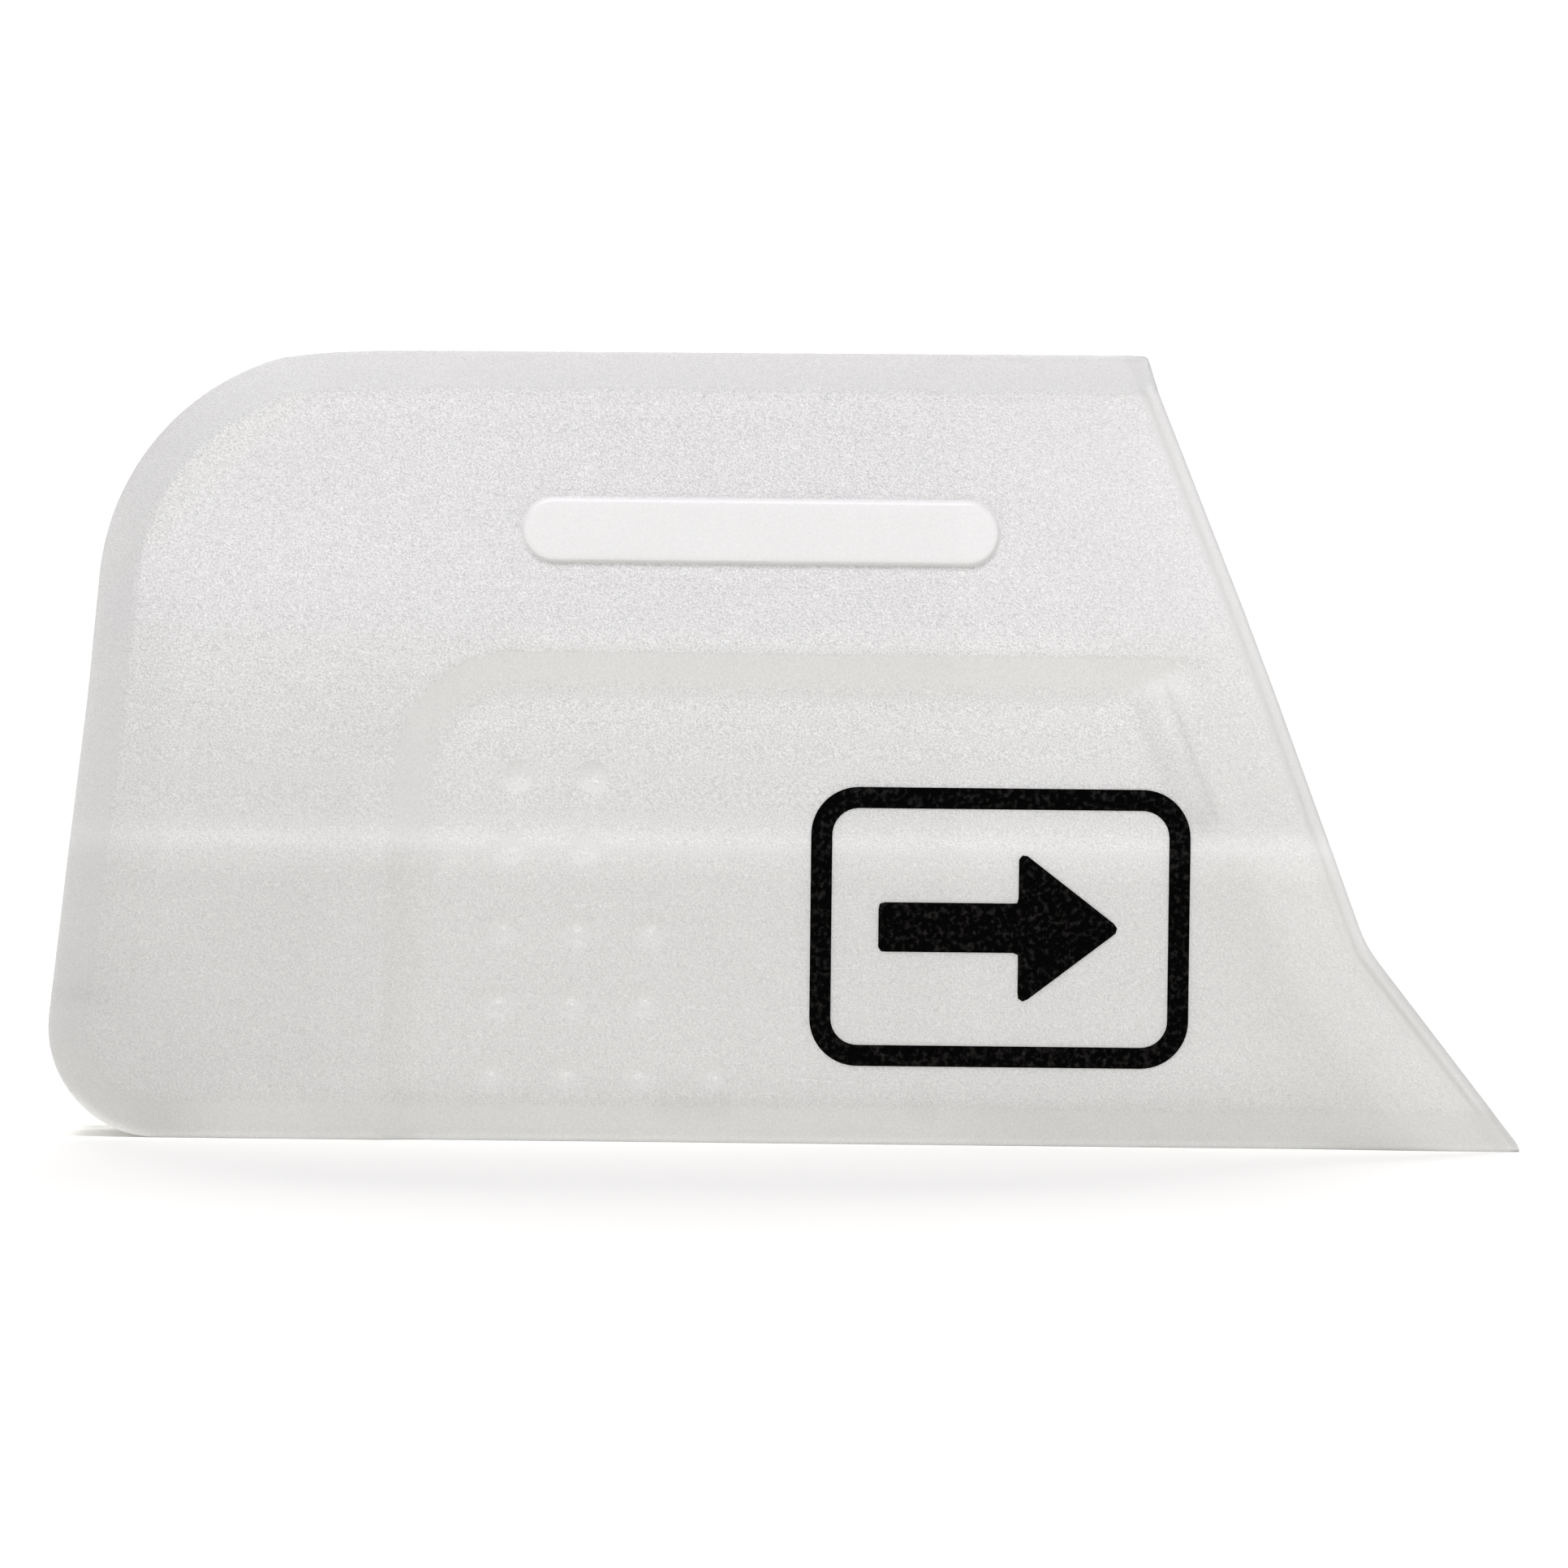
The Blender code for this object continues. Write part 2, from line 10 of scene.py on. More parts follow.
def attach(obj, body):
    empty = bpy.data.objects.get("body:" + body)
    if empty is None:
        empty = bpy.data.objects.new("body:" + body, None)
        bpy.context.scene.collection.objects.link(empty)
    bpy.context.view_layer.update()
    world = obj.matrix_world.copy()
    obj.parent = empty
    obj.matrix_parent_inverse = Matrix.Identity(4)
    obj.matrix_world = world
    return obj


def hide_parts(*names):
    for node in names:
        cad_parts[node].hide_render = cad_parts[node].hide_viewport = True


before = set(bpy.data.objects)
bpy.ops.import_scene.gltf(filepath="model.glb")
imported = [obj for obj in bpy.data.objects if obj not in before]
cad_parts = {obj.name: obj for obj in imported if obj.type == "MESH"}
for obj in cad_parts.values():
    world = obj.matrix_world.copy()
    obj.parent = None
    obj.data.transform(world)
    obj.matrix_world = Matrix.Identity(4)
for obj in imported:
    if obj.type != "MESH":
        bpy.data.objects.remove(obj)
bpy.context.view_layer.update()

# A push-on cap for a hand knife's blade, in frosted milky plastic. Lengths are
# in millimetres and drawing coordinates: x from the closed end, z up from the
# edge wall, y the thickness with the front shell towards -y.

X_SHIFT = -39.973571581262746
WALL = 2.1
BORDER, BORDER_DROP, CORNER = 2.1, 0.5, 0.16
SEAM = 0.015
LAP_FRONT, LAP_BACK = 0.85, 0.88
MM = 0.001

# ------------------------------------------------------------------ outlines

BODY = [
    (-0.767, 0.0, 6.0),
    (97.0, 0.0, 0.0),
    (97.0, 43.25, 0.0),
    (17.5, 42.94, 20.0),
    (14.3, 42.76, 6.0),
    (12.25, 42.50, 3.0),
    (3.197, 39.734, 13.64),
    (1.964, 24.24, 60.0),
]
MOUTH = [
    (120.0, -4.0, 0.0),
    (120.0, 48.0, 0.0),
    (58.6, 48.0, 0.0),
    (58.6, 43.30, 0.0),
    (59.40, 42.95, 0.3),
    (59.86, 41.30, 1.5),
    (65.50, 27.20, 200.0),
    (71.47, 11.18, 7.0),
    (80.0, 0.28, 0.0),
    (80.0, -4.0, 0.0),
]


def rounded(corners, turn=2.0):
    """A closed polygon whose corners (x, z, radius) are rounded."""
    n = len(corners)
    at = [Vector(c[:2]) for c in corners]
    bends, reach = [], []
    for i in range(n):
        d_in = (at[i] - at[i - 1]).normalized()
        d_out = (at[(i + 1) % n] - at[i]).normalized()
        angle = math.atan2(d_in.x * d_out.y - d_in.y * d_out.x, d_in.dot(d_out))
        bends.append((d_in, d_out, angle))
        reach.append(corners[i][2] * math.tan(abs(angle) / 2))
    for i in range(n):
        j = (i + 1) % n
        most = (at[j] - at[i]).length * 0.998
        if reach[i] + reach[j] > most:
            share = most / (reach[i] + reach[j])
            reach[i], reach[j] = reach[i] * share, reach[j] * share
    points = []
    for here, (d_in, d_out, angle), tangent in zip(at, bends, reach):
        if tangent <= 0 or abs(angle) < math.radians(0.4):
            points.append((here.x, here.y))
            continue
        side = 1 if angle > 0 else -1
        start = here - d_in * tangent
        centre = start + Vector((-d_in.y, d_in.x)) * side * (tangent / math.tan(abs(angle) / 2))
        steps = max(1, round(math.degrees(abs(angle)) / turn))
        spoke = start - centre
        for k in range(steps + 1):
            a = angle * k / steps
            points.append(
                (
                    centre.x + spoke.x * math.cos(a) - spoke.y * math.sin(a),
                    centre.y + spoke.x * math.sin(a) + spoke.y * math.cos(a),
                )
            )
    return np.array(points)


def inset(corners, distance):
    """A counter-clockwise polygon moved inwards, its corner radii with it."""
    n = len(corners)
    lines = []
    for i in range(n):
        a, b = Vector(corners[i][:2]), Vector(corners[(i + 1) % n][:2])
        d = (b - a).normalized()
        lines.append((a + Vector((-d.y, d.x)) * distance, d))
    moved = []
    for i in range(n):
        p, d = lines[i - 1]
        q, e = lines[i]
        cross = d.x * e.y - d.y * e.x
        t = ((q - p).x * e.y - (q - p).y * e.x) / cross
        at = p + d * t
        change = -distance if cross > 0 else distance
        radius = corners[i][2]
        moved.append((at.x, at.y, max(radius + change, 0.2) if radius else 0))
    return moved


def resample(points, step, closed=False):
    """The same line in even steps that keep its corners within reason."""
    p = np.asarray(points, float)
    if closed:
        p = np.vstack([p, p[:1]])
    seg = np.hypot(*np.diff(p, axis=0).T)
    keep = np.r_[True, seg > 1e-9]
    p = p[keep]
    s = np.r_[0, np.cumsum(np.hypot(*np.diff(p, axis=0).T))]
    n = max(2, int(round(s[-1] / step)))
    at = np.linspace(0, s[-1], n + 1)
    out = np.c_[np.interp(at, s, p[:, 0]), np.interp(at, s, p[:, 1])]
    return out[:-1] if closed else out


def distance(points, line, closed=False):
    """Unsigned distance from each point to a polyline."""
    line = np.asarray(line)
    if closed:
        line = np.vstack([line, line[:1]])
    best = np.full(len(points), 1e9)
    for a, b in zip(line, line[1:]):
        d = b - a
        length = float(d @ d)
        if length < 1e-16:
            continue
        t = np.clip((points - a) @ d / length, 0, 1)
        near = a + t[:, None] * d
        best = np.minimum(best, np.hypot(*(points - near).T))
    return best


def inside(points, polygon):
    x, z = points[:, 0], points[:, 1]
    hit = np.zeros(len(points), bool)
    p = np.asarray(polygon)
    for (x0, z0), (x1, z1) in zip(p, np.roll(p, -1, 0)):
        if z0 == z1:
            continue
        crosses = (z0 > z) != (z1 > z)
        hit ^= crosses & (x < (x1 - x0) * (z - z0) / (z1 - z0) + x0)
    return hit


def signed(points, polygon):
    """Distance to a closed polygon, positive inside it."""
    return np.where(inside(points, polygon), 1, -1) * distance(points, polygon, True)


def crossing(line, other):
    """First place where two open polylines cross: index in line, point."""
    for i, (a, b) in enumerate(zip(line, line[1:])):
        for c, d in zip(other, other[1:]):
            r, s = b - a, d - c
            den = r[0] * s[1] - r[1] * s[0]
            if abs(den) < 1e-12:
                continue
            t = ((c - a)[0] * s[1] - (c - a)[1] * s[0]) / den
            u = ((c - a)[0] * r[1] - (c - a)[1] * r[0]) / den
            if -1e-9 <= t <= 1 + 1e-9 and -1e-9 <= u <= 1 + 1e-9:
                return i, a + r * t
    raise ValueError("the lines don't cross")


# The mouth edge as one line from below the edge wall up past the spine.
edge = np.array([p for p in rounded(MOUTH) if p[0] < 90][::-1])


def closed_sides(gap):
    """The closed sides' line moved in by gap, from the mouth's top end over
    the spine, the closed end and the heel to the mouth's low end."""
    line = rounded(inset(BODY, gap) if gap else BODY)
    # starts at the heel and goes counter-clockwise: edge wall, overrun, spine
    start = int(np.argmax(line[:, 0] + line[:, 1]))
    loop = np.vstack([line[start:], line[: start + 1]])
    i, top = crossing(loop, edge)
    rest = loop[i + 1 :]
    j, low = crossing(rest[::-1], edge)
    rest = rest[: len(rest) - 1 - j]
    return np.vstack([top, rest, low])


C_LINE = closed_sides(0.0)
TOP_END, LOW_END = C_LINE[0], C_LINE[-1]


def mouth_between(low, top):
    """The mouth edge's points from one place on it to another."""
    s = np.r_[0, np.cumsum(np.hypot(*np.diff(edge, axis=0).T))]

    def along(p):
        best, at = 1e9, 0.0
        for i, (a, b) in enumerate(zip(edge, edge[1:])):
            d = b - a
            t = float(np.clip((p - a) @ d / max(d @ d, 1e-12), 0, 1))
            gap = float(np.hypot(*(p - a - d * t)))
            if gap < best:
                best, at = gap, s[i] + t * math.sqrt(d @ d)
        return at

    s0, s1 = along(low), along(top)
    mid = [p for p, k in zip(edge, s) if s0 + 1e-6 < k < s1 - 1e-6]
    return np.array([low, *mid, top])


M_LINE = mouth_between(LOW_END, TOP_END)
SILHOUETTE = np.vstack([C_LINE, M_LINE[1:-1]])

# ---------------------------------------------------------- thickness field

# Half thickness over height. The lower facet leans out up to the ridge, a
# narrow ledge turns in over it, and the face then curves back to the spine.
PROFILE = [
    (-6.0, 6.04),
    (0.0, 6.67),
    (16.0, 8.35),
    (17.3, 8.15),
    (20.5, 8.08),
    (24.0, 7.86),
    (28.0, 7.38),
    (31.0, 6.83),
    (50.0, 2.79),
]


def ramp(t, width):
    """max(t, 0) with its corner rounded over width either way."""
    return np.where(
        t > width, t, np.where(t < -width, 0.0, (t + width) ** 2 / (4 * width))
    )


def step(t):
    t = np.clip(t, 0, 1)
    return t * t * (3 - 2 * t)


def bell(t, width):
    return np.exp(-((t / width) ** 2))


def body_half(z):
    """Half thickness of the plain body, its knots rounded."""
    (z0, h0), (z1, h1) = PROFILE[:2]
    slope = (h1 - h0) / (z1 - z0)
    h = h0 + slope * (z - z0)
    for (a, ha), (b, hb) in zip(PROFILE[1:], PROFILE[2:]):
        new = (hb - ha) / (b - a)
        h = h + (new - slope) * ramp(z - a, 0.45 if a < 18 else 1.6)
        slope = new
    return h


def quarter(d, radius):
    """Drop of a quarter round at distance d from its edge."""
    u = np.clip(radius - d, 0, radius)
    return radius - np.sqrt(np.maximum(radius**2 - u**2, 0))


def border_drop(d, z):
    """How far the bevelled border lies below the face, its corner rounded.

    Along the edge wall the corner is nearly sharp.
    """
    corner = CORNER * (0.12 + 0.88 * step((z - 0.8) / 2.2))
    return BORDER_DROP / BORDER * ramp(BORDER - d, 0.3) + quarter(d, corner)


GRIP_DEPTH, GRIP_SLOPE = 0.9, 2.2
GRIP_BRIM = [
    (17.2, -12.0, 0.0),
    (97.0, -12.0, 0.0),
    (97.0, 26.7, 0.0),
    (18.9, 26.7, 6.6),
]
FADE_D = np.array([2.6, 3.5, 4.8, 6.2, 7.6, 9.0])
FADE_P = np.array([0.0, 0.06, 0.3, 0.62, 0.9, 1.0])
DIMPLE_ROWS = (
    (19.90, 25.40, 2),
    (15.96, 25.00, 2),
    (11.50, 24.60, 3),
    (7.56, 24.30, 3),
    (3.75, 24.00, 4),
)
DIMPLE_PITCH, DIMPLE_RADIUS, DIMPLE_DEPTH = 4.0, 0.85, 0.08
DIMPLES = [(x + DIMPLE_PITCH * k, z) for z, x, n in DIMPLE_ROWS for k in range(n)]
FIELD_CENTRE, FIELD_SIZE, FIELD_RISE = (38.4, 33.3), (26.0, 3.5), 0.2

brim_poly = rounded([(x, z, r) for x, z, r in GRIP_BRIM])


def soft_min(a, b, width):
    h = np.clip(0.5 + (b - a) / (2 * width), 0, 1)
    return b * (1 - h) + a * h - width * h * (1 - h)


def grip_depth(p, d_mouth):
    d = signed(p, brim_poly)
    part = np.interp(d_mouth, FADE_D, FADE_P)
    slope = ramp(d, 0.14)
    depth = soft_min(slope * GRIP_DEPTH / GRIP_SLOPE, GRIP_DEPTH * part, 0.11)
    return np.maximum(depth, 0), d


def capsule(p, a, b):
    """Distance to a segment, and the share along it."""
    a, b = np.asarray(a, float), np.asarray(b, float)
    d = b - a
    t = np.clip((p - a) @ d / (d @ d), 0, 1)
    return np.hypot(*(p - a - t[:, None] * d).T), t


FIELD_A = (FIELD_CENTRE[0] - FIELD_SIZE[0] / 2 + FIELD_SIZE[1] / 2, FIELD_CENTRE[1])
FIELD_B = (FIELD_CENTRE[0] + FIELD_SIZE[0] / 2 - FIELD_SIZE[1] / 2, FIELD_CENTRE[1])
SNAP_TOP, SNAP_LOW, SNAP_RADIUS, SNAP_HEIGHT = (59.9, 24.7), (62.6, 17.7), 1.05, 0.6


def flare(p, d_mouth):
    """0 to 1: how far the low corner of the mouth is flared outwards."""
    x, z = p[:, 0], p[:, 1]
    left = 66.0 + (z - 1.8) * (70.4 - 66.0) / (11.5 - 1.8)
    right = 78.6 - (z - 1.8) * (78.6 - 70.8) / (11.5 - 1.8)
    across = (x - left) / np.maximum(right - left, 1.2)
    return step(across * 1.1) * step((12.6 - z) / 3.0) * step((z - 1.2) / 2.2)


def outer_face(p, front):
    """Half thickness of the outside at each point, and the paint masks."""
    z = p[:, 1]
    d_side = distance(p, C_LINE)
    d_mouth = distance(p, M_LINE)
    clear = step((d_side - 1.6) / 0.8)
    h = body_half(z)
    depth, d_grip = grip_depth(p, d_mouth)
    h = h - depth
    ball = (DIMPLE_RADIUS**2 + DIMPLE_DEPTH**2) / (2 * DIMPLE_DEPTH)
    dimple_glint_and_shade = np.zeros(len(p))
    dimple_disc = np.zeros(len(p))
    dimple_glint = np.zeros(len(p))
    for dx, dz in DIMPLES:
        r = np.hypot(p[:, 0] - dx, p[:, 1] - dz)
        cap = np.sqrt(np.maximum(ball**2 - r**2, 0)) - (ball - DIMPLE_DEPTH)
        h = h - ramp(cap, 0.03) * (r < 1.3)
        disc = step((0.92 - r) / 0.2)
        below = 0.26 if dz > 14 else -0.06 if dz > 5 else 0.14
        # painted highlight: a glint in the lower part of each dimple
        glint = bell(np.hypot((p[:, 0] - dx - 0.05) * 0.8, p[:, 1] - dz + below), 0.30 if dz > 14 else 0.23)
        # the painted glint breaks up into sparks, and the dimple's upper half gets painted shade
        glint *= 0.25 + 1.3 * np.abs(np.sin(p[:, 0] * 47.3 + p[:, 1] * 91.7) * np.sin(p[:, 0] * 83.1 - p[:, 1] * 37.9))
        shade = disc * step((p[:, 1] - dz + 0.45) / 0.5) * (1 - glint)
        dimple_glint_and_shade += (0.085 if dz > 14 else 0.190) * glint - (0.034 if dz > 14 else 0.002) * shade
        dimple_glint = np.maximum(dimple_glint, glint)
        dimple_disc = np.maximum(dimple_disc, disc * (1 - glint) * (1.0 if dz > 14 else 0.5))
    h = h + 0.10 * step((0.80 - d_mouth) / 0.3) * clear
    h = h - 0.04 * bell(d_mouth - 0.72, 0.14) * clear
    h = h + 0.12 * flare(p, d_mouth) * step((d_mouth - 0.6) / 3.0)
    r_field, _ = capsule(p, FIELD_A, FIELD_B)
    d_field = FIELD_SIZE[1] / 2 - r_field
    if front:
        h = h + FIELD_RISE * step((d_field + 0.06) / 0.26)
        h = h - 0.04 * bell(d_field + 0.14, 0.09)
    h = h - border_drop(d_side, z) - quarter(d_mouth, 0.22)

    # paint: a multiplier on the plastic's colour, which carries painted light and shade, and where the grain lies
    in_grip = step(d_grip / 1.2) * np.interp(d_mouth, FADE_D, FADE_P)
    # painted shade over the thick guide inside, painted glints and shade in the dimples, and the grip's floor painted
    # lighter
    tone = 1.0 - 0.018 * step(pad_mask(p) / 0.7 + 0.5) + dimple_glint_and_shade + 0.016 * in_grip
    # painted shade: the body is darker towards the edge wall, less so near the mouth
    far_from_mouth = 1 - 0.6 * step((9.0 - d_mouth) / 6.0)
    tone *= 1 - 0.062 * step((31.0 - z) / 11.0) * (1 - 0.5 * in_grip) * far_from_mouth
    # painted shade below the ridge
    tone *= 1 - 0.012 * step((16.4 - z) / 2.2) * (1 - in_grip) * far_from_mouth
    # painted highlight along the ridge, weaker by the closed end's border
    crest = 1 - 0.85 * step((6.0 - d_side) / 4.5) * step((12.0 - p[:, 0]) / 4.0)
    tone *= 1 + (0.056 * bell(z - 16.4, 0.6) + 0.045 * bell(z - 15.3, 0.7)) * crest
    # painted shade towards the bottom, along the closed end's border, around the heel and low near the closed end
    tone *= 1 - 0.024 * step((7.0 - z) / 6.0) * (0.5 + 0.5 * far_from_mouth)
    end = step((12.0 - p[:, 0]) / 8.0)
    tone *= 1 - 0.055 * step((5.0 - d_side) / 4.5) * end
    tone *= 1 - 0.045 * step((9.0 - np.hypot(p[:, 0] - 2.0, z - 4.0)) / 6.0)
    tone *= 1 - 0.010 * step((7.0 - z) / 6.0) * step((24.0 - p[:, 0]) / 6.0)
    # painted shade on the border over the solid side walls, strongest along the top where its bevel faces the light,
    # and painted light along the foot
    band = step((2.35 - d_side) / 0.4)
    up = step((z - 30.0) / 9.0)
    left_edge = step((9.0 - p[:, 0]) / 4.0) * (1 - up)
    foot = step((3.0 - z) / 1.5)
    tone *= 1 - (0.006 + 0.172 * up + 0.090 * left_edge) * band - 0.010 * bell(d_side - 1.6, 0.6)
    tone *= 1 + (0.02 * band + 0.12 * step((0.6 - d_side) / 0.55) + 0.09 * step((0.3 - d_side) / 0.2)) * foot
    tone *= 1 - 0.045 * step((p[:, 0] - 46.0) / 8.0) * band * foot
    tone *= 1 - (0.026 * bell(d_side - 2.35, 0.2) + 0.014 * (1 - band) * step((6.0 - d_side) / 3.0)) * up
    tone *= 1 - 0.032 * step((6.0 - d_side) / 3.0) * (1 - band) * left_edge
    # painted shade: the closed end's border is darkest two thirds up, and painted paler again on the heel
    closed_end = step((14.0 - p[:, 0]) / 4.0)
    tone *= 1 - 0.084 * bell(z - 30.0, 6.0) * band * closed_end
    tone *= 1 - 0.022 * bell(z - 26.5, 4.0) * (1 - band) * step((9.0 - d_side) / 6.0) * closed_end
    tone *= 1 + 0.045 * bell(z - 3.4, 1.8) * band * step((9.0 - p[:, 0]) / 4.0)
    # painted shade in patches across the face and a dark line along the spine's edge
    tone *= 1 - 0.018 * step((z - 1.9) / 0.8) * step((9.0 - z) / 5.0) * step((20.0 - p[:, 0]) / 4.0) * step((p[:, 0] - 5.0) / 4.0)
    tone *= 1 - 0.010 * step((z - 33.0) / 3.0) * step((20.0 - p[:, 0]) / 6.0)
    tone *= 1 - 0.009 * step((z - 28.0) / 3.0) * step((p[:, 0] - 20.0) / 8.0)
    tone *= 1 - 0.010 * step((16.0 - z) / 3.0) * step((p[:, 0] - 48.0) / 4.0) * step((d_mouth - 6.0) / 4.0)
    tone *= 1 - 0.075 * up * step((0.5 - d_side) / 0.35)
    # painted shade low in the grip, along the edge wall's border
    low_grip = in_grip * step((8.0 - z) / 2.0)
    tone *= 1 - low_grip * (0.050 * step((4.6 - d_side) / 2.2) + 0.020 * bell(d_side - 2.2, 0.4))
    # the lip of the mouth: painted dark lines along it and painted light inboard of it
    tone *= 1 - (0.050 + 0.035 * step((12.0 - z) / 3.0)) * bell(d_mouth - 0.64, 0.16) * clear
    tone *= 1 - 0.100 * step((0.17 - d_mouth) / 0.12) * clear
    tone *= 1 - (0.014 + 0.048 * step((z - 13.0) / 5.0)) * step((1.15 - d_mouth) / 0.25)
    tone *= 1 - 0.130 * step((0.42 - d_mouth) / 0.2) * step((12.0 - z) / 3.0)
    tone *= 1 + 0.045 * step((d_mouth - 1.0) / 0.4) * step((5.5 - d_mouth) / 2.0) * step((18.0 - z) / 3.0)
    tone *= 1 - 0.014 * step((4.0 - d_mouth) / 2.0) * step((12.0 - z) / 3.0) * step((z - 5.0) / 2.0)
    tone *= 1 + 0.012 * bell(d_mouth - 1.7, 0.9) * clear
    tone *= 1 - 0.010 * flare(p, d_mouth)
    # the snap rib inside, seen through the wall: painted shade along its flanks and a painted highlight down its
    # middle
    top, low = np.array(SNAP_TOP), np.array(SNAP_LOW)
    length = float(np.hypot(*(low - top)))
    axis = (low - top) / length
    along = (p - top) @ axis
    off = (p - top) @ np.array([-axis[1], axis[0]])
    span = step((along + 1.0) / 1.2) * step((length + 0.5 - along) / 0.9)
    tone *= 1 - 0.062 * bell(off + 1.10, 0.36) * span - 0.078 * bell(off - 0.74, 0.21) * span
    tone *= 1 - 0.030 * bell(off + 0.5, 0.35) * span + 0.016 * bell(off - 1.9, 0.8) * span
    tone *= 1 + 0.036 * bell(off - 0.12, 0.26) * step((along - 0.2) / 1.0) * step((5.2 - along) / 3.0)
    tone *= 1 - 0.020 * bell(off, 0.7) * span * step((along - 2.0) / 1.5)
    tone *= 1 - 0.070 * bell(np.hypot(off, (along - length + 0.2) * 0.8), 0.85)
    # painted light and shade on the grip's sloped side, which is smooth
    bevel = step(d_grip / 0.12 + 0.3) * step((GRIP_SLOPE + 0.1 - d_grip) / 0.35)
    bevel *= step((d_mouth - 3.6) / 2.0) * clear
    left_side = step((18.5 - np.abs(z - 4.0)) / 3.0) * step((22.5 - p[:, 0]) / 1.5)
    upper_side = step((z - 21.0) / 2.0)
    tone *= 1 + (-0.008 + 0.014 * left_side + 0.034 * upper_side) * bevel
    # painted light: below the ridge the grip's side is lightened so that it hardly shows
    side_on = step((24.0 - p[:, 0]) / 2.0) * step((15.0 - z) / 1.5)
    tone *= 1 + (0.012 * bell(d_grip - 0.25, 0.35) + 0.020 * bell(d_grip - 2.05, 0.3)) * side_on
    tone *= 1 + 0.020 * step((2.6 - d_grip) / 0.8) * step((p[:, 0] - 13.5) / 2.0) * side_on * step((z - 2.4) / 0.8)
    # more painted shade and light in and around the grip, with a painted highlight by its top bevel
    tone *= 1 - 0.014 * step((d_grip - 2.8) / 0.8) * step((34.0 - p[:, 0]) / 8.0) * step((11.0 - z) / 4.0) * step((z - 1.9) / 0.8)
    by_side = step((p[:, 0] - 13.5) / 2.0) * step((18.2 - p[:, 0]) / 0.6) + 0.8 * step((p[:, 0] - 20.4) / 0.6) * step((30.0 - p[:, 0]) / 6.0)
    tone *= 1 - 0.022 * by_side * foot * band
    tone *= 1 + 0.034 * bell(z - 27.4, 0.7) * step((p[:, 0] - 24.0) / 3.0) * step((d_mouth - 6.0) / 4.0)
    beside = step((22.0 - z) / 2.0) * step((z - 3.2) / 1.5)
    high = step((z - 15.5) / 2.0)
    tone *= 1 - (0.006 + 0.032 * high) * bell(p[:, 0] - 19.7, 0.65) * beside
    tone *= 1 + (0.008 + 0.016 * high) * bell(p[:, 0] - 17.6, 1.2) * beside
    tone *= 1 + 0.022 * upper_side * bell(d_grip - 2.7, 1.2) * step((d_mouth - 5.0) / 3.0)
    # painted shade along the edge wall over the ribs inside, and a dark line low on the closed end
    for x0, x1 in ((33.0, 37.0), (46.6, 48.4)):
        dx = np.minimum(p[:, 0] - x0, x1 - p[:, 0])
        tone *= 1 - 0.016 * step(dx / 0.5 + 0.5) * bell(z - 1.9, 0.8)
    tone *= 1 - 0.030 * bell((z - 7.75) / 0.5, 1.0) * step((3.3 - p[:, 0]) / 0.5)
    grain = (0.3 + 0.7 * step((d_side - 1.75) / 0.5)) * step((d_mouth - 0.8) / 0.4)
    polished = step(d_grip / 0.12 + 0.3) * step((GRIP_SLOPE + 0.5 - d_grip) / 1.6) * high
    grain *= (1 - 0.85 * polished * step((d_mouth - 3.6) / 2.0)) * (1 - 0.75 * dimple_disc)
    calm = (0.50 + 0.50 * step((z - 14.0) / 15.0)) * (1 - 0.3 * step((12.0 - d_mouth) / 9.0))
    calm *= 1 + 0.12 * in_grip * step((z - 15.0) / 4.0)
    tone *= 1 - 0.08 * (1 - calm) * grain
    grain = np.maximum(grain * calm, 0.9 * dimple_glint)
    if front:
        # the raised field painted lighter, with a painted shade line along its edge
        tone *= 1 + 0.050 * step((d_field - 0.12) / 0.2)
        tone *= 1 - 0.10 * bell(d_field - 0.04, 0.10)
        grain *= 1 - step((d_field + 0.1) / 0.1)
    return h, tone, np.clip(grain, 0, 1)


PAD = [
    (3.7, 3.9, 3.0),
    (49.1, 3.9, 1.5),
    (49.1, 39.5, 1.5),
    (15.5, 39.5, 4.0),
    (8.2, 36.2, 6.0),
    (5.9, 28.0, 6.0),
]
pad_poly = rounded(PAD, 5.0)
RIBS = [(33.0, 37.0, 1.2, 6.0), (46.6, 48.4, 1.2, 6.0), (1.3, 7.5, 7.3, 8.3)]


def pad_mask(p):
    """Signed distance into the thick guide, ribs included."""
    d = signed(p, pad_poly)
    for x0, x1, z0, z1 in RIBS:
        rib = np.minimum.reduce([p[:, 0] - x0, x1 - p[:, 0], p[:, 1] - z0, z1 - p[:, 1]])
        d = np.maximum(d, rib)
    return d


def inner_face(p):
    """Half thickness of the pocket's inside at each point."""
    z = p[:, 1]
    d_side = distance(p, IN_LINE)
    d_mouth = distance(p, M_LINE)
    h = body_half(z) - WALL
    h = h - 1.1 * step((pad_mask(p) + 0.28) / 0.36)
    r_snap, _ = capsule(p, SNAP_TOP, SNAP_LOW)
    h = h - SNAP_HEIGHT * np.sqrt(np.clip(1 - (r_snap / SNAP_RADIUS) ** 2, 0, 1))
    lead = step((1.35 - d_mouth) / 0.3) * step(d_side / 0.4)
    h = h + 0.55 * lead
    h = h + quarter(d_mouth, 0.15)
    return h - quarter(d_side, 0.6)


# ----------------------------------------------------------------- meshing


CELL = 0.36


def thin(points, spacing, kept):
    """Those of the points that aren't too near one in kept, which they join."""
    span = math.ceil(0.6 * spacing / CELL)
    out = []
    for x, z in points.tolist():
        i, j = int(x // CELL), int(z // CELL)
        ok = True
        for a in range(i - span, i + span + 1):
            for b in range(j - span, j + span + 1):
                for u, v, s in kept.get((a, b), ()):
                    reach = 0.6 * min(s, spacing)
                    if (x - u) * (x - u) + (z - v) * (z - v) < reach * reach:
                        ok = False
                        break
                if not ok:
                    break
            if not ok:
                break
        if ok:
            out.append((x, z))
            kept.setdefault((i, j), []).append((x, z, spacing))
    return np.array(out) if out else np.zeros((0, 2))


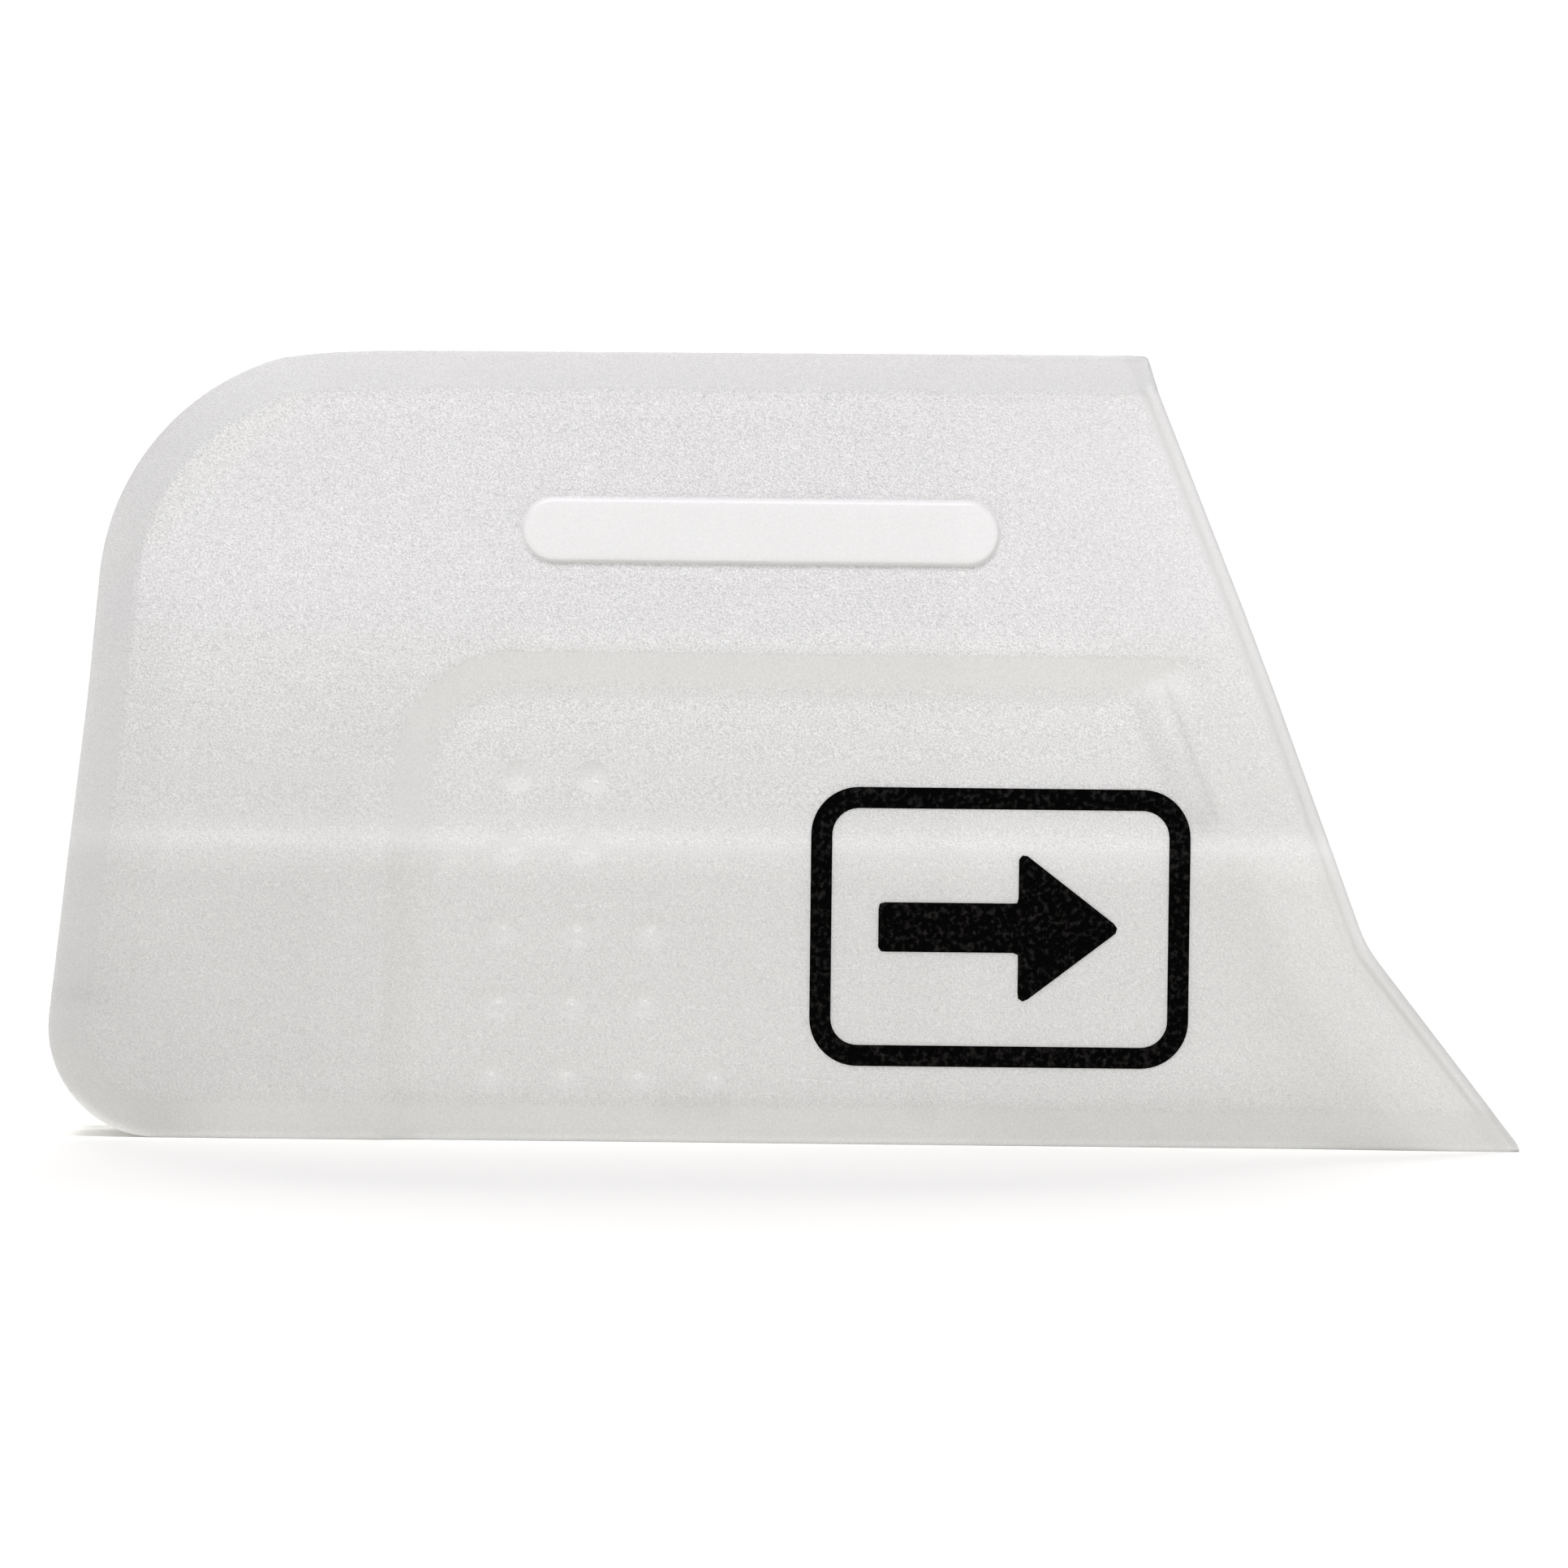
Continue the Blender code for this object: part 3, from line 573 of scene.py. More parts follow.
def fill(border, extra):
    """Triangles inside a simple closed border. Returns points and triples."""
    coords = [Vector((float(x), float(z))) for x, z in border]
    coords += [Vector((float(x), float(z))) for x, z in extra]
    n = len(border)
    edges = [(i, (i + 1) % n) for i in range(n)]
    verts, _, faces, origin, _, _ = delaunay_2d_cdt(
        coords, edges, [], 1, 1e-7, True
    )
    pts = np.array([(v.x, v.y) for v in verts])
    back = [o[0] if o else -1 for o in origin]
    if len(pts) != len(coords) or -1 in back:
        raise ValueError(f"the fill changed its points: {len(coords)} to {len(pts)}")
    new = [tuple(back[i] for i in f) for f in faces]
    xy = np.array([(c.x, c.y) for c in coords])
    mids = np.array([xy[list(f)].mean(0) for f in new])
    held = inside(mids, xy[:n])
    return xy, [f for f, ok in zip(new, held) if ok]


def rings(lines, pitch, keep):
    """Ranked points for a face: rings and features first, then an even grid."""
    kept, out = {}, []
    xs = np.arange(-1, 81, pitch)
    zs = np.arange(0, 44, pitch * math.sqrt(3) / 2)
    grid = np.array([(x + (k % 2) * pitch / 2, z) for k, z in enumerate(zs) for x in xs])
    for points, spacing in [*lines, (grid, pitch)]:
        out.append(thin(points[keep(points)], spacing, kept))
    return np.vstack(out)


IN_LINE = closed_sides(WALL)
PITCH = 0.5
SIDE_STEP = 0.55

FINE = 1.0

c_pts = resample(C_LINE, SIDE_STEP)
in_pts = resample(IN_LINE, SIDE_STEP)
in_top, in_low = IN_LINE[0], IN_LINE[-1]


def mouth_samples(marks):
    """Samples of the mouth edge that include every mark, and their places."""
    chain, at = [LOW_END], []
    stops = sorted(marks, key=lambda m: m[1]) + [TOP_END]
    here = LOW_END
    for k, stop in enumerate(stops):
        part = mouth_between(here, stop)
        if np.hypot(*(stop - here)) > 0.4:
            part = resample(part, 0.45)
        else:
            part = np.array([here, stop])
        chain.extend(part[1:])
        if k < len(stops) - 1:
            at.append(len(chain) - 1)
        here = stop
    return np.array(chain), at


def even(line, count):
    """The line in a given number of evenly spaced points."""
    s = np.r_[0, np.cumsum(np.hypot(*np.diff(line, axis=0).T))]
    at = np.linspace(0, s[-1], count)
    return np.c_[np.interp(at, s, line[:, 0]), np.interp(at, s, line[:, 1])]


def offset_mouth(gap):
    """The mouth edge moved into the body by gap, as a line."""
    line = rounded(inset(MOUTH, -gap), 4.0)
    line = np.array([p for p in line if p[0] < 90][::-1])
    return line


def make_shell(name, side, lap_level, lap_inset):
    """One closed half shell. side is -1 for the front, 1 for the back."""
    front = side < 0
    mid_line = closed_sides(lap_inset)
    turns = [math.radians(a) for a in (22.5, 45.0, 67.5, 90.0)]
    corner = [closed_sides(CORNER * (1 - math.cos(a))) for a in turns]
    m_pts, marks = mouth_samples(
        [
            *(line[-1] for line in corner),
            mid_line[-1], in_low, in_top, mid_line[0],
            *(line[0] for line in corner),
        ]
    )
    k = len(corner)
    j_face_lo, j_mid_lo, j_in_lo, j_in_hi, j_mid_hi, j_face_hi = marks[k - 1 : k + 5]
    mid_pts = resample(mid_line, SIDE_STEP)
    coords, tones, grains, faces = [], [], [], []

    def put(p, y, tone=None, grain=None):
        first = len(coords)
        p = np.atleast_2d(p)
        y = np.broadcast_to(y, len(p))
        t = np.broadcast_to(1.0 if tone is None else tone, len(p))
        g = np.broadcast_to(0.0 if grain is None else grain, len(p))
        for (x, z), yy, tt, gg in zip(p, y, t, g):
            coords.append(((x + X_SHIFT) * MM, side * yy * MM, z * MM))
            tones.append(float(tt))
            grains.append(float(gg))
        return list(range(first, first + len(p)))

    # the rounded corner in rows, then the outer face inside the last of them
    rows_xy = [c_pts, *(even(line, len(c_pts)) for line in corner)]
    rounds = []
    for xy in rows_xy:
        h, tone, grain = outer_face(xy, front)
        rounds.append(put(xy, h, tone, grain))
    for a, b in zip(rounds[1:], rounds):
        for i in range(len(a) - 1):
            faces.append((a[i], a[i + 1], b[i + 1], b[i]))
    c_out = rounds[0]
    border = np.vstack([rows_xy[-1], m_pts[j_face_lo + 1 : j_face_hi]])

    lines = []
    for d in (0.42, 0.6, 0.85, 1.15, 1.45, 1.75, 1.93, 2.1, 2.27, 2.45, 2.7):
        lines.append((resample(closed_sides(d), 0.28 * FINE), 0.28 * FINE))
    for d in (0.04, 0.11, 0.2, 0.3, 0.4, 0.5, 0.6, 0.7, 0.8, 0.92, 1.1):
        lines.append((resample(offset_mouth(d), 0.15 * FINE), 0.15 * FINE))
    for d in (1.35, 1.7, 2.2):
        lines.append((resample(offset_mouth(d), 0.4), 0.4))
    for x, z in DIMPLES:
        ring = [
            (x + r * math.cos(a), z + r * math.sin(a))
            for r in (0.15, 0.3, 0.45, 0.6, 0.72, 0.81, 0.9, 1.0, 1.2)
            for a in np.linspace(0, 2 * math.pi, max(8, int(2 * math.pi * r / 0.2)), endpoint=False)
        ]
        lines.append((np.array([(x, z), *ring]), 0.15))
    for d in (-0.14, 0.0, 0.14, 0.32):
        brim = rounded(inset(GRIP_BRIM, d), 4.0)
        lines.append((resample(brim, 0.24 * FINE, True), 0.2 * FINE))
    for d in (-0.4, 0.7, 1.3, 1.9, 2.1, 2.3, 2.6):
        brim = rounded(inset(GRIP_BRIM, d), 4.0)
        lines.append((resample(brim, 0.4, True), 0.3))
    for z in (14.2, 14.8, 15.4, 15.7, 16.0, 16.3, 16.6, 16.9, 17.3, 17.8):
        xs = np.arange(2, 80, 0.4 * FINE)
        lines.append((np.c_[xs, np.full(len(xs), z)], 0.3 * FINE))
    for off in (-1.5, -1.25, -1.05, -0.8, -0.5, -0.2, 0.0, 0.2, 0.4, 0.58, 0.76, 0.95, 1.2):
        a, b = np.array(SNAP_TOP), np.array(SNAP_LOW)
        axis = (b - a) / np.hypot(*(b - a))
        a, b = a + off * np.array([-axis[1], axis[0]]) - axis, b + off * np.array([-axis[1], axis[0]]) + axis
        lines.append((resample([a, b], 0.22 * FINE), 0.22 * FINE))
    if front:
        for d in (-0.3, -0.15, -0.05, 0.05, 0.15, 0.25, 0.4):
            w, h = FIELD_SIZE[0] / 2 - d, FIELD_SIZE[1] / 2 - d
            cx, cz = FIELD_CENTRE
            line = rounded([(cx - w, cz - h, h), (cx + w, cz - h, h), (cx + w, cz + h, h), (cx - w, cz + h, h)], 8.0)
            lines.append((resample(line, 0.16 * FINE, True), 0.15 * FINE))

    def keep_outer(p):
        return inside(p, border) & (distance(p, border, True) > 0.03)

    pts, tri = fill(border, rings(lines, PITCH, keep_outer))
    n_row = len(c_pts)
    h, tone, grain = outer_face(pts[n_row:], front)
    ids = [*rounds[-1], *put(pts[n_row:], h, tone, grain)]
    faces += [tuple(ids[i] for i in t) for t in tri]
    m_out = [
        *(row[-1] for row in rounds),
        *ids[n_row : len(border)],
        *(row[0] for row in reversed(rounds)),
    ]

    # side wall down to the seam, with a fine softened edge there
    wall_tone = 0.965
    rows = [c_out]
    heights = np.array([abs(coords[i][1]) / MM for i in c_out])
    for share in (0.25, 0.5, 0.75):
        rows.append(put(c_pts, heights * (1 - share) + (SEAM + 0.16) * share, wall_tone))
    rows.append(put(c_pts, SEAM + 0.16, wall_tone))
    tangent = np.gradient(c_pts, axis=0)
    tangent /= np.hypot(*tangent.T)[:, None]
    normal = np.c_[-tangent[:, 1], tangent[:, 0]]
    fade = np.minimum(1, np.minimum(np.arange(len(c_pts)), np.arange(len(c_pts))[::-1]) / 2.0)
    s_line = c_pts + normal * (0.11 * fade)[:, None]
    s_out = put(s_line, SEAM, wall_tone * 0.97)
    rows.append(s_out)
    for a, b in zip(rows, rows[1:]):
        for i in range(len(a) - 1):
            faces.append((a[i], a[i + 1], b[i + 1], b[i]))

    # seam face: outer land, lap step, inner land
    def band(outer_ids, outer_xy, inner_xy, low_m, high_m, level):
        """Fill between two lines and the mouth's short pieces at both ends."""
        inner_ids = put(inner_xy, level)
        lo = put(low_m, level) if len(low_m) else []
        hi = put(high_m, level) if len(high_m) else []
        border = np.vstack([outer_xy, low_m, inner_xy[::-1], high_m])
        table = [*outer_ids, *lo, *inner_ids[::-1], *hi]
        _, tri = fill(border, np.zeros((0, 2)))
        for t in tri:
            faces.append(tuple(table[i] for i in t))
        return inner_ids, lo, hi

    low_a = m_pts[1:j_mid_lo]
    high_a = m_pts[j_mid_hi + 1 : -1]
    mid_a, lo_a, hi_a = band(s_out, s_line, mid_pts, low_a, high_a, SEAM)
    mid_b = put(mid_pts, -lap_level)
    for i in range(len(mid_pts) - 1):
        faces.append((mid_a[i], mid_a[i + 1], mid_b[i + 1], mid_b[i]))
    low_b = m_pts[j_mid_lo + 1 : j_in_lo]
    high_b = m_pts[j_in_hi + 1 : j_mid_hi]
    in_a, lo_b, hi_b = band(mid_b, mid_pts, in_pts, low_b, high_b, -lap_level)

    # inner face of the pocket
    in_border = np.vstack([in_pts, m_pts[j_in_lo + 1 : j_in_hi]])
    lines = [(resample(closed_sides(WALL + d), 0.6), 0.6) for d in (0.05, 0.12, 0.25, 0.42, 0.6)]
    lines += [(resample(offset_mouth(d), 0.6), 0.6) for d in (0.05, 0.15, 0.4, 0.8, 1.05, 1.2, 1.35, 1.6)]
    for d in (-0.32, -0.2, -0.1, 0.0, 0.1, 0.3):
        lines.append((resample(rounded(inset(PAD, d), 8.0), 0.5, True), 0.3))
    for x0, x1, z0, z1 in RIBS:
        for d in (-0.3, -0.1, 0.1):
            box = rounded([(x0 + d, z0 + d, 0), (x1 - d, z0 + d, 0), (x1 - d, z1 - d, 0), (x0 + d, z1 - d, 0)])
            lines.append((resample(box, 0.3, True), 0.25))
    top, low = Vector(SNAP_TOP), Vector(SNAP_LOW)
    along = (top - low).normalized()
    across = Vector((-along.y, along.x))
    for r in (1.15, 1.05, 1.02, 0.95, 0.8, 0.5, 0.2):
        loop = []
        for end, lean in ((low, 180.0), (top, 0.0)):
            for k in range(13):
                a = math.radians(lean + 15.0 * k)
                q = end - across * (math.cos(a) * r) + along * (math.sin(a) * r)
                loop.append((q.x, q.y))
        lines.append((resample(loop, 0.3, True), 0.15))
    in_poly = np.vstack([IN_LINE, mouth_between(in_low, in_top)[1:-1]])

    def keep_inner(p):
        return inside(p, in_poly) & (distance(p, in_poly, True) > 0.012)

    pts, tri = fill(in_border, rings(lines, PITCH * 1.5, keep_inner))
    h = inner_face(pts)
    ids = put(pts, h)
    faces += [tuple(ids[i] for i in reversed(t)) for t in tri]
    in_b = ids[: len(in_pts)]
    m_in = ids[len(in_pts) : len(in_border)]
    for i in range(len(in_pts) - 1):
        faces.append((in_a[i], in_a[i + 1], in_b[i + 1], in_b[i]))

    # the wall's end at the mouth, filled in the plane of arc length and y
    arc = np.r_[0, np.cumsum(np.hypot(*np.diff(m_pts, axis=0).T))]
    loop = list(m_out)
    where = list(arc)

    def at(ids, lo, hi):
        loop.extend(ids)
        where.extend(arc[lo:hi])

    loop.append(s_out[0])
    where.append(arc[-1])
    loop.extend(hi_a[::-1])
    where.extend(arc[j_mid_hi + 1 : -1][::-1])
    loop.append(mid_a[0])
    where.append(arc[j_mid_hi])
    loop.append(mid_b[0])
    where.append(arc[j_mid_hi])
    loop.extend(hi_b[::-1])
    where.extend(arc[j_in_hi + 1 : j_mid_hi][::-1])
    loop.append(in_a[0])
    where.append(arc[j_in_hi])
    loop.append(in_b[0])
    where.append(arc[j_in_hi])
    loop.extend(m_in[::-1])
    where.extend(arc[j_in_lo + 1 : j_in_hi][::-1])
    loop.append(in_b[-1])
    where.append(arc[j_in_lo])
    loop.append(in_a[-1])
    where.append(arc[j_in_lo])
    loop.extend(lo_b[::-1])
    where.extend(arc[j_mid_lo + 1 : j_in_lo][::-1])
    loop.append(mid_b[-1])
    where.append(arc[j_mid_lo])
    loop.append(mid_a[-1])
    where.append(arc[j_mid_lo])
    loop.extend(lo_a[::-1])
    where.extend(arc[1:j_mid_lo][::-1])
    loop.append(s_out[-1])
    where.append(arc[0])
    for row in rows[-2:0:-1]:
        loop.append(row[-1])
        where.append(arc[0])
    start_rows = [row[0] for row in rows[1:-1]]
    # the side wall's rows also end on the mouth at the spine
    k = loop.index(s_out[0])
    loop[k:k] = start_rows
    where[k:k] = [arc[-1]] * len(start_rows)
    flat = np.array([(s, side * coords[i][1] / MM) for s, i in zip(where, loop)])
    _, tri = fill(flat, np.zeros((0, 2)))
    for t in tri:
        faces.append(tuple(loop[i] for i in t))

    mesh = bpy.data.meshes.new(name)
    mesh.from_pydata(coords, [], faces)
    mesh.validate()
    for label, values in (("tone", tones), ("grain", grains)):
        layer = mesh.attributes.new(label, "FLOAT", "POINT")
        layer.data.foreach_set("value", values)
    ob = bpy.data.objects.new(name, mesh)
    bpy.context.scene.collection.objects.link(ob)
    tidy(ob, 32)
    return ob


def tidy(ob, angle):
    """Outward normals, smooth shading and sharp edges where they turn hard."""
    bm = bmesh.new()
    bm.from_mesh(ob.data)
    bmesh.ops.recalc_face_normals(bm, faces=bm.faces)
    open_edges = sum(1 for e in bm.edges if not e.is_manifold)
    if open_edges:
        print(f"{ob.name}: {open_edges} open edges")
    bm.to_mesh(ob.data)
    bm.free()
    ob.data.shade_smooth()
    ob.data.set_sharp_from_angle(angle=math.radians(angle))
    print(ob.name, len(ob.data.vertices), "points", len(ob.data.polygons), "faces")


# --------------------------------------------------------------------- ink

PRINT_CENTRE, PRINT_FRAME, PRINT_STROKE, PRINT_CORNER = (51.6, 11.9), (20.6, 15.2), 1.15, 2.6


def ink(name, outer, inner=None):
    """A thin film of ink that follows the front grip's floor."""
    spacing = 0.3
    shape = resample(outer, spacing, True)
    hole = resample(inner, spacing, True) if inner is not None else None
    pitch = 0.3
    lo, hi = shape.min(0), shape.max(0)
    xs, zs = np.arange(lo[0], hi[0], pitch), np.arange(lo[1], hi[1], pitch * 0.87)
    grid = np.array([(x + (k % 2) * pitch / 2, z) for k, z in enumerate(zs) for x in xs])
    ok = inside(grid, shape) & (distance(grid, shape, True) > 0.12)
    if hole is not None:
        ok &= ~inside(grid, hole) & (distance(grid, hole, True) > 0.12)
    grid = grid[ok]
    loops = [shape] if hole is None else [shape, hole]
    coords2, edges = [], []
    for loop in loops:
        first = len(coords2)
        coords2 += [Vector(map(float, p)) for p in loop]
        n = len(loop)
        edges += [(first + i, first + (i + 1) % n) for i in range(n)]
    coords2 += [Vector(map(float, p)) for p in grid]
    verts, _, tri, _, _, _ = delaunay_2d_cdt(coords2, edges, [], 1, 1e-7, False)
    pts = np.array([(v.x, v.y) for v in verts])
    mids = np.array([pts[list(t)].mean(0) for t in tri])
    keep = inside(mids, shape)
    if hole is not None:
        keep &= ~inside(mids, hole)
    tri = [t for t, k in zip(tri, keep) if k]
    h, _, _ = outer_face(pts, True)
    rim = np.minimum.reduce([distance(pts, loop, True) for loop in loops])
    lift = 0.02 + 0.035 * np.clip(rim / 0.06, 0, 1)
    top = [((x + X_SHIFT) * MM, -(y + s) * MM, z * MM) for (x, z), y, s in zip(pts, h, lift)]
    low = [((x + X_SHIFT) * MM, -(y - 0.03) * MM, z * MM) for (x, z), y in zip(pts, h)]
    n = len(pts)
    faces = [tuple(t) for t in tri] + [tuple(n + i for i in reversed(t)) for t in tri]
    count = {}
    for t in tri:
        for a, b in zip(t, (*t[1:], t[0])):
            count[(a, b)] = count.get((a, b), 0) + 1
    for (a, b), _ in list(count.items()):
        if (b, a) not in count:
            faces.append((b, a, n + a, n + b))
    mesh = bpy.data.meshes.new(name)
    mesh.from_pydata(top + low, [], faces)
    mesh.validate()
    ob = bpy.data.objects.new(name, mesh)
    bpy.context.scene.collection.objects.link(ob)
    tidy(ob, 40)
    return ob


# --------------------------------------------------------------- materials


class Nodes:
    def __init__(self, material):
        material.use_nodes = True
        self.tree = material.node_tree
        self.tree.nodes.clear()

    def add(self, kind, **settings):
        node = self.tree.nodes.new(kind)
        for key, value in settings.items():
            if key in node.inputs:
                node.inputs[key].default_value = value
            else:
                setattr(node, key, value)
        return node

    def link(self, a, out, b, into):
        self.tree.links.new(a.outputs[out], b.inputs[into])


def plastic(name):
    material = bpy.data.materials.new(name)
    n = Nodes(material)
    out = n.add("ShaderNodeOutputMaterial")
    shader = n.add("ShaderNodeBsdfPrincipled")
    n.link(shader, "BSDF", out, "Surface")
    shader.inputs["Metallic"].default_value = 0.0
    shader.inputs["IOR"].default_value = 1.5
    shader.inputs["Subsurface Weight"].default_value = 0.4
    shader.inputs["Subsurface Radius"].default_value = (1.0, 0.97, 0.92)
    shader.inputs["Subsurface Scale"].default_value = 0.0013
    shader.inputs["Specular IOR Level"].default_value = 0.45
    coord = n.add("ShaderNodeTexCoord")
    tone = n.add("ShaderNodeAttribute", attribute_name="tone")
    grain = n.add("ShaderNodeAttribute", attribute_name="grain")

    # the wrinkles of the grain run slanting down towards the mouth
    lie = n.add("ShaderNodeMapping", vector_type="TEXTURE")
    lie.inputs["Rotation"].default_value = (0.0, 0.6, 0.0)
    lie.inputs["Scale"].default_value = (1.35, 1.0, 0.9)
    n.link(coord, "Object", lie, "Vector")

    # colour: the tone, with a faint cloud and a faint grain in it
    cloud = n.add("ShaderNodeTexNoise", Scale=160.0, Detail=3.0, Roughness=0.55)
    n.link(coord, "Object", cloud, "Vector")
    cloud_range = n.add("ShaderNodeMapRange")
    cloud_range.inputs["To Min"].default_value = 0.985
    cloud_range.inputs["To Max"].default_value = 1.015
    n.link(cloud, "Fac", cloud_range, "Value")
    speck = n.add("ShaderNodeTexNoise", Scale=12000.0, Detail=2.0, Roughness=0.6)
    n.link(lie, "Vector", speck, "Vector")
    speck_range = n.add("ShaderNodeMapRange")
    speck_range.inputs["From Min"].default_value = 0.3
    speck_range.inputs["From Max"].default_value = 0.7
    speck_range.inputs["To Min"].default_value = 0.785
    speck_range.inputs["To Max"].default_value = 1.24
    n.link(speck, "Fac", speck_range, "Value")
    share = n.add("ShaderNodeMapRange")
    share.inputs["To Min"].default_value = 0.2
    share.inputs["To Max"].default_value = 1.0
    n.link(grain, "Fac", share, "Value")
    mottle = n.add("ShaderNodeMix", data_type="FLOAT")
    mottle.inputs[2].default_value = 1.0
    n.link(share, "Result", mottle, 0)
    n.link(speck_range, "Result", mottle, 3)
    a = n.add("ShaderNodeMath", operation="MULTIPLY")
    n.link(cloud_range, "Result", a, 0)
    n.link(mottle, "Result", a, 1)
    b = n.add("ShaderNodeMath", operation="MULTIPLY")
    n.link(a, "Value", b, 0)
    n.link(tone, "Fac", b, 1)
    # the milk looks faintly violet where the body is thin, greener where it is deep
    place = n.add("ShaderNodeSeparateXYZ")
    n.link(coord, "Object", place, "Vector")
    deep = n.add("ShaderNodeMapRange", interpolation_type="SMOOTHSTEP")
    for socket, value in (("From Min", 0.0262), ("From Max", 0.0292), ("To Min", 1.0), ("To Max", 0.0)):
        deep.inputs[socket].default_value = value
    n.link(place, "Z", deep, "Value")
    end = n.add("ShaderNodeMapRange", interpolation_type="SMOOTHSTEP")
    for socket, value in (("From Min", -0.0385), ("From Max", -0.0355), ("To Min", 1.0), ("To Max", 0.0)):
        end.inputs[socket].default_value = value
    n.link(place, "X", end, "Value")
    slant = n.add("ShaderNodeMath", operation="SUBTRACT")
    n.link(place, "X", slant, 0)
    n.link(place, "Z", slant, 1)
    corner = n.add("ShaderNodeMapRange", interpolation_type="SMOOTHSTEP")
    for socket, value in (("From Min", -0.0674), ("From Max", -0.0656), ("To Min", 1.0), ("To Max", 0.0)):
        corner.inputs[socket].default_value = value
    n.link(slant, "Value", corner, "Value")
    smooth = n.add("ShaderNodeMapRange")
    for socket, value in (("From Min", 0.0), ("From Max", 0.12), ("To Min", 1.0), ("To Max", 0.0)):
        smooth.inputs[socket].default_value = value
    n.link(grain, "Fac", smooth, "Value")
    either = deep
    for other in (end, corner, smooth):
        most = n.add("ShaderNodeMath", operation="MAXIMUM")
        n.link(either, 0, most, 0)
        n.link(other, "Result", most, 1)
        either = most
    spine = n.add("ShaderNodeMapRange", interpolation_type="SMOOTHSTEP")
    for socket, value in (("From Min", 0.0402), ("From Max", 0.0412), ("To Min", 0.0), ("To Max", 0.7)):
        spine.inputs[socket].default_value = value
    n.link(place, "Z", spine, "Value")
    most = n.add("ShaderNodeMath", operation="MAXIMUM")
    n.link(either, 0, most, 0)
    n.link(spine, "Result", most, 1)
    either = most
    milk = n.add("ShaderNodeMix", data_type="VECTOR")
    milk.inputs[4].default_value = PLASTIC_THIN
    milk.inputs[5].default_value = PLASTIC_DEEP
    n.link(either, 0, milk, 0)
    tint = n.add("ShaderNodeVectorMath", operation="SCALE")
    n.link(milk, 1, tint, 0)
    n.link(b, "Value", tint, "Scale")
    n.link(tint, "Vector", shader, "Base Color")

    # grain: fine sand blasted steel pressed into the plastic
    fine = n.add("ShaderNodeTexNoise", Scale=10000.0, Detail=2.0, Roughness=0.5)
    n.link(lie, "Vector", fine, "Vector")
    height = n.add("ShaderNodeMath", operation="MULTIPLY")
    n.link(fine, "Fac", height, 0)
    n.link(grain, "Fac", height, 1)
    bump = n.add("ShaderNodeBump", Strength=GRAIN_STRENGTH, Distance=0.000106)
    n.link(height, "Value", bump, "Height")
    n.link(bump, "Normal", shader, "Normal")
    rough = n.add("ShaderNodeMapRange")
    rough.inputs["To Min"].default_value = 0.42
    rough.inputs["To Max"].default_value = 0.5
    n.link(grain, "Fac", rough, "Value")
    n.link(rough, "Result", shader, "Roughness")
    return material


def black_ink(name):
    material = bpy.data.materials.new(name)
    n = Nodes(material)
    out = n.add("ShaderNodeOutputMaterial")
    shader = n.add("ShaderNodeBsdfPrincipled")
    n.link(shader, "BSDF", out, "Surface")
    shader.inputs["Metallic"].default_value = 0.0
    shader.inputs["Specular IOR Level"].default_value = 0.02
    coord = n.add("ShaderNodeTexCoord")
    speck = n.add("ShaderNodeTexNoise", Scale=3400.0, Detail=2.0, Roughness=0.55)
    n.link(coord, "Object", speck, "Vector")
    ramp_node = n.add("ShaderNodeValToRGB")
    ramp_node.color_ramp.elements[0].position = 0.5
    ramp_node.color_ramp.elements[0].color = (0.0010, 0.0009, 0.0008, 1)
    ramp_node.color_ramp.elements[1].position = 0.78
    ramp_node.color_ramp.elements[1].color = (0.022, 0.021, 0.020, 1)
    n.link(speck, "Fac", ramp_node, "Fac")
    n.link(ramp_node, "Color", shader, "Base Color")
    fine = n.add("ShaderNodeTexNoise", Scale=3000.0, Detail=3.0, Roughness=0.65)
    n.link(coord, "Object", fine, "Vector")
    bump = n.add("ShaderNodeBump", Strength=0.5, Distance=0.00004)
    n.link(fine, "Fac", bump, "Height")
    n.link(bump, "Normal", shader, "Normal")
    rough = n.add("ShaderNodeMapRange")
    rough.inputs["To Min"].default_value = 0.55
    rough.inputs["To Max"].default_value = 0.7
    n.link(fine, "Fac", rough, "Value")
    n.link(rough, "Result", shader, "Roughness")
    return material


PLASTIC_THIN = (0.850, 0.8425, 0.828)
PLASTIC_DEEP = (0.850, 0.849, 0.8245)
GRAIN_STRENGTH = 1.0

plastic_material = plastic("frosted_plastic")
ink_material = black_ink("black_ink")

front = make_shell("front_shell_visual", -1, LAP_FRONT, 1.2)
back = make_shell("back_shell_visual", 1, -LAP_BACK, 1.17)
for ob, node in ((front, "front_shell"), (back, "back_shell")):
    ob.data.materials.append(plastic_material)
    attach(ob, "root")
    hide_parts(node)

cx, cz = PRINT_CENTRE
w, h = PRINT_FRAME[0] / 2, PRINT_FRAME[1] / 2
r = PRINT_CORNER
frame_corners = [(cx - w, cz - h, r), (cx + w, cz - h, r), (cx + w, cz + h, r), (cx - w, cz + h, r)]
frame_ink = ink("ink_frame", rounded(frame_corners, 4.0), rounded(inset(frame_corners, PRINT_STROKE), 4.0))
reach, shaft, head, wing = 6.6, 1.35, 5.6, 4.3
arrow_corners = [
    (cx - reach, cz - shaft, 0.25),
    (cx + reach - head, cz - shaft, 0.15),
    (cx + reach - head, cz - wing, 0.3),
    (cx + reach, cz, 0.35),
    (cx + reach - head, cz + wing, 0.3),
    (cx + reach - head, cz + shaft, 0.15),
    (cx - reach, cz + shaft, 0.25),
]
arrow_ink = ink("ink_arrow", rounded(arrow_corners, 10.0))
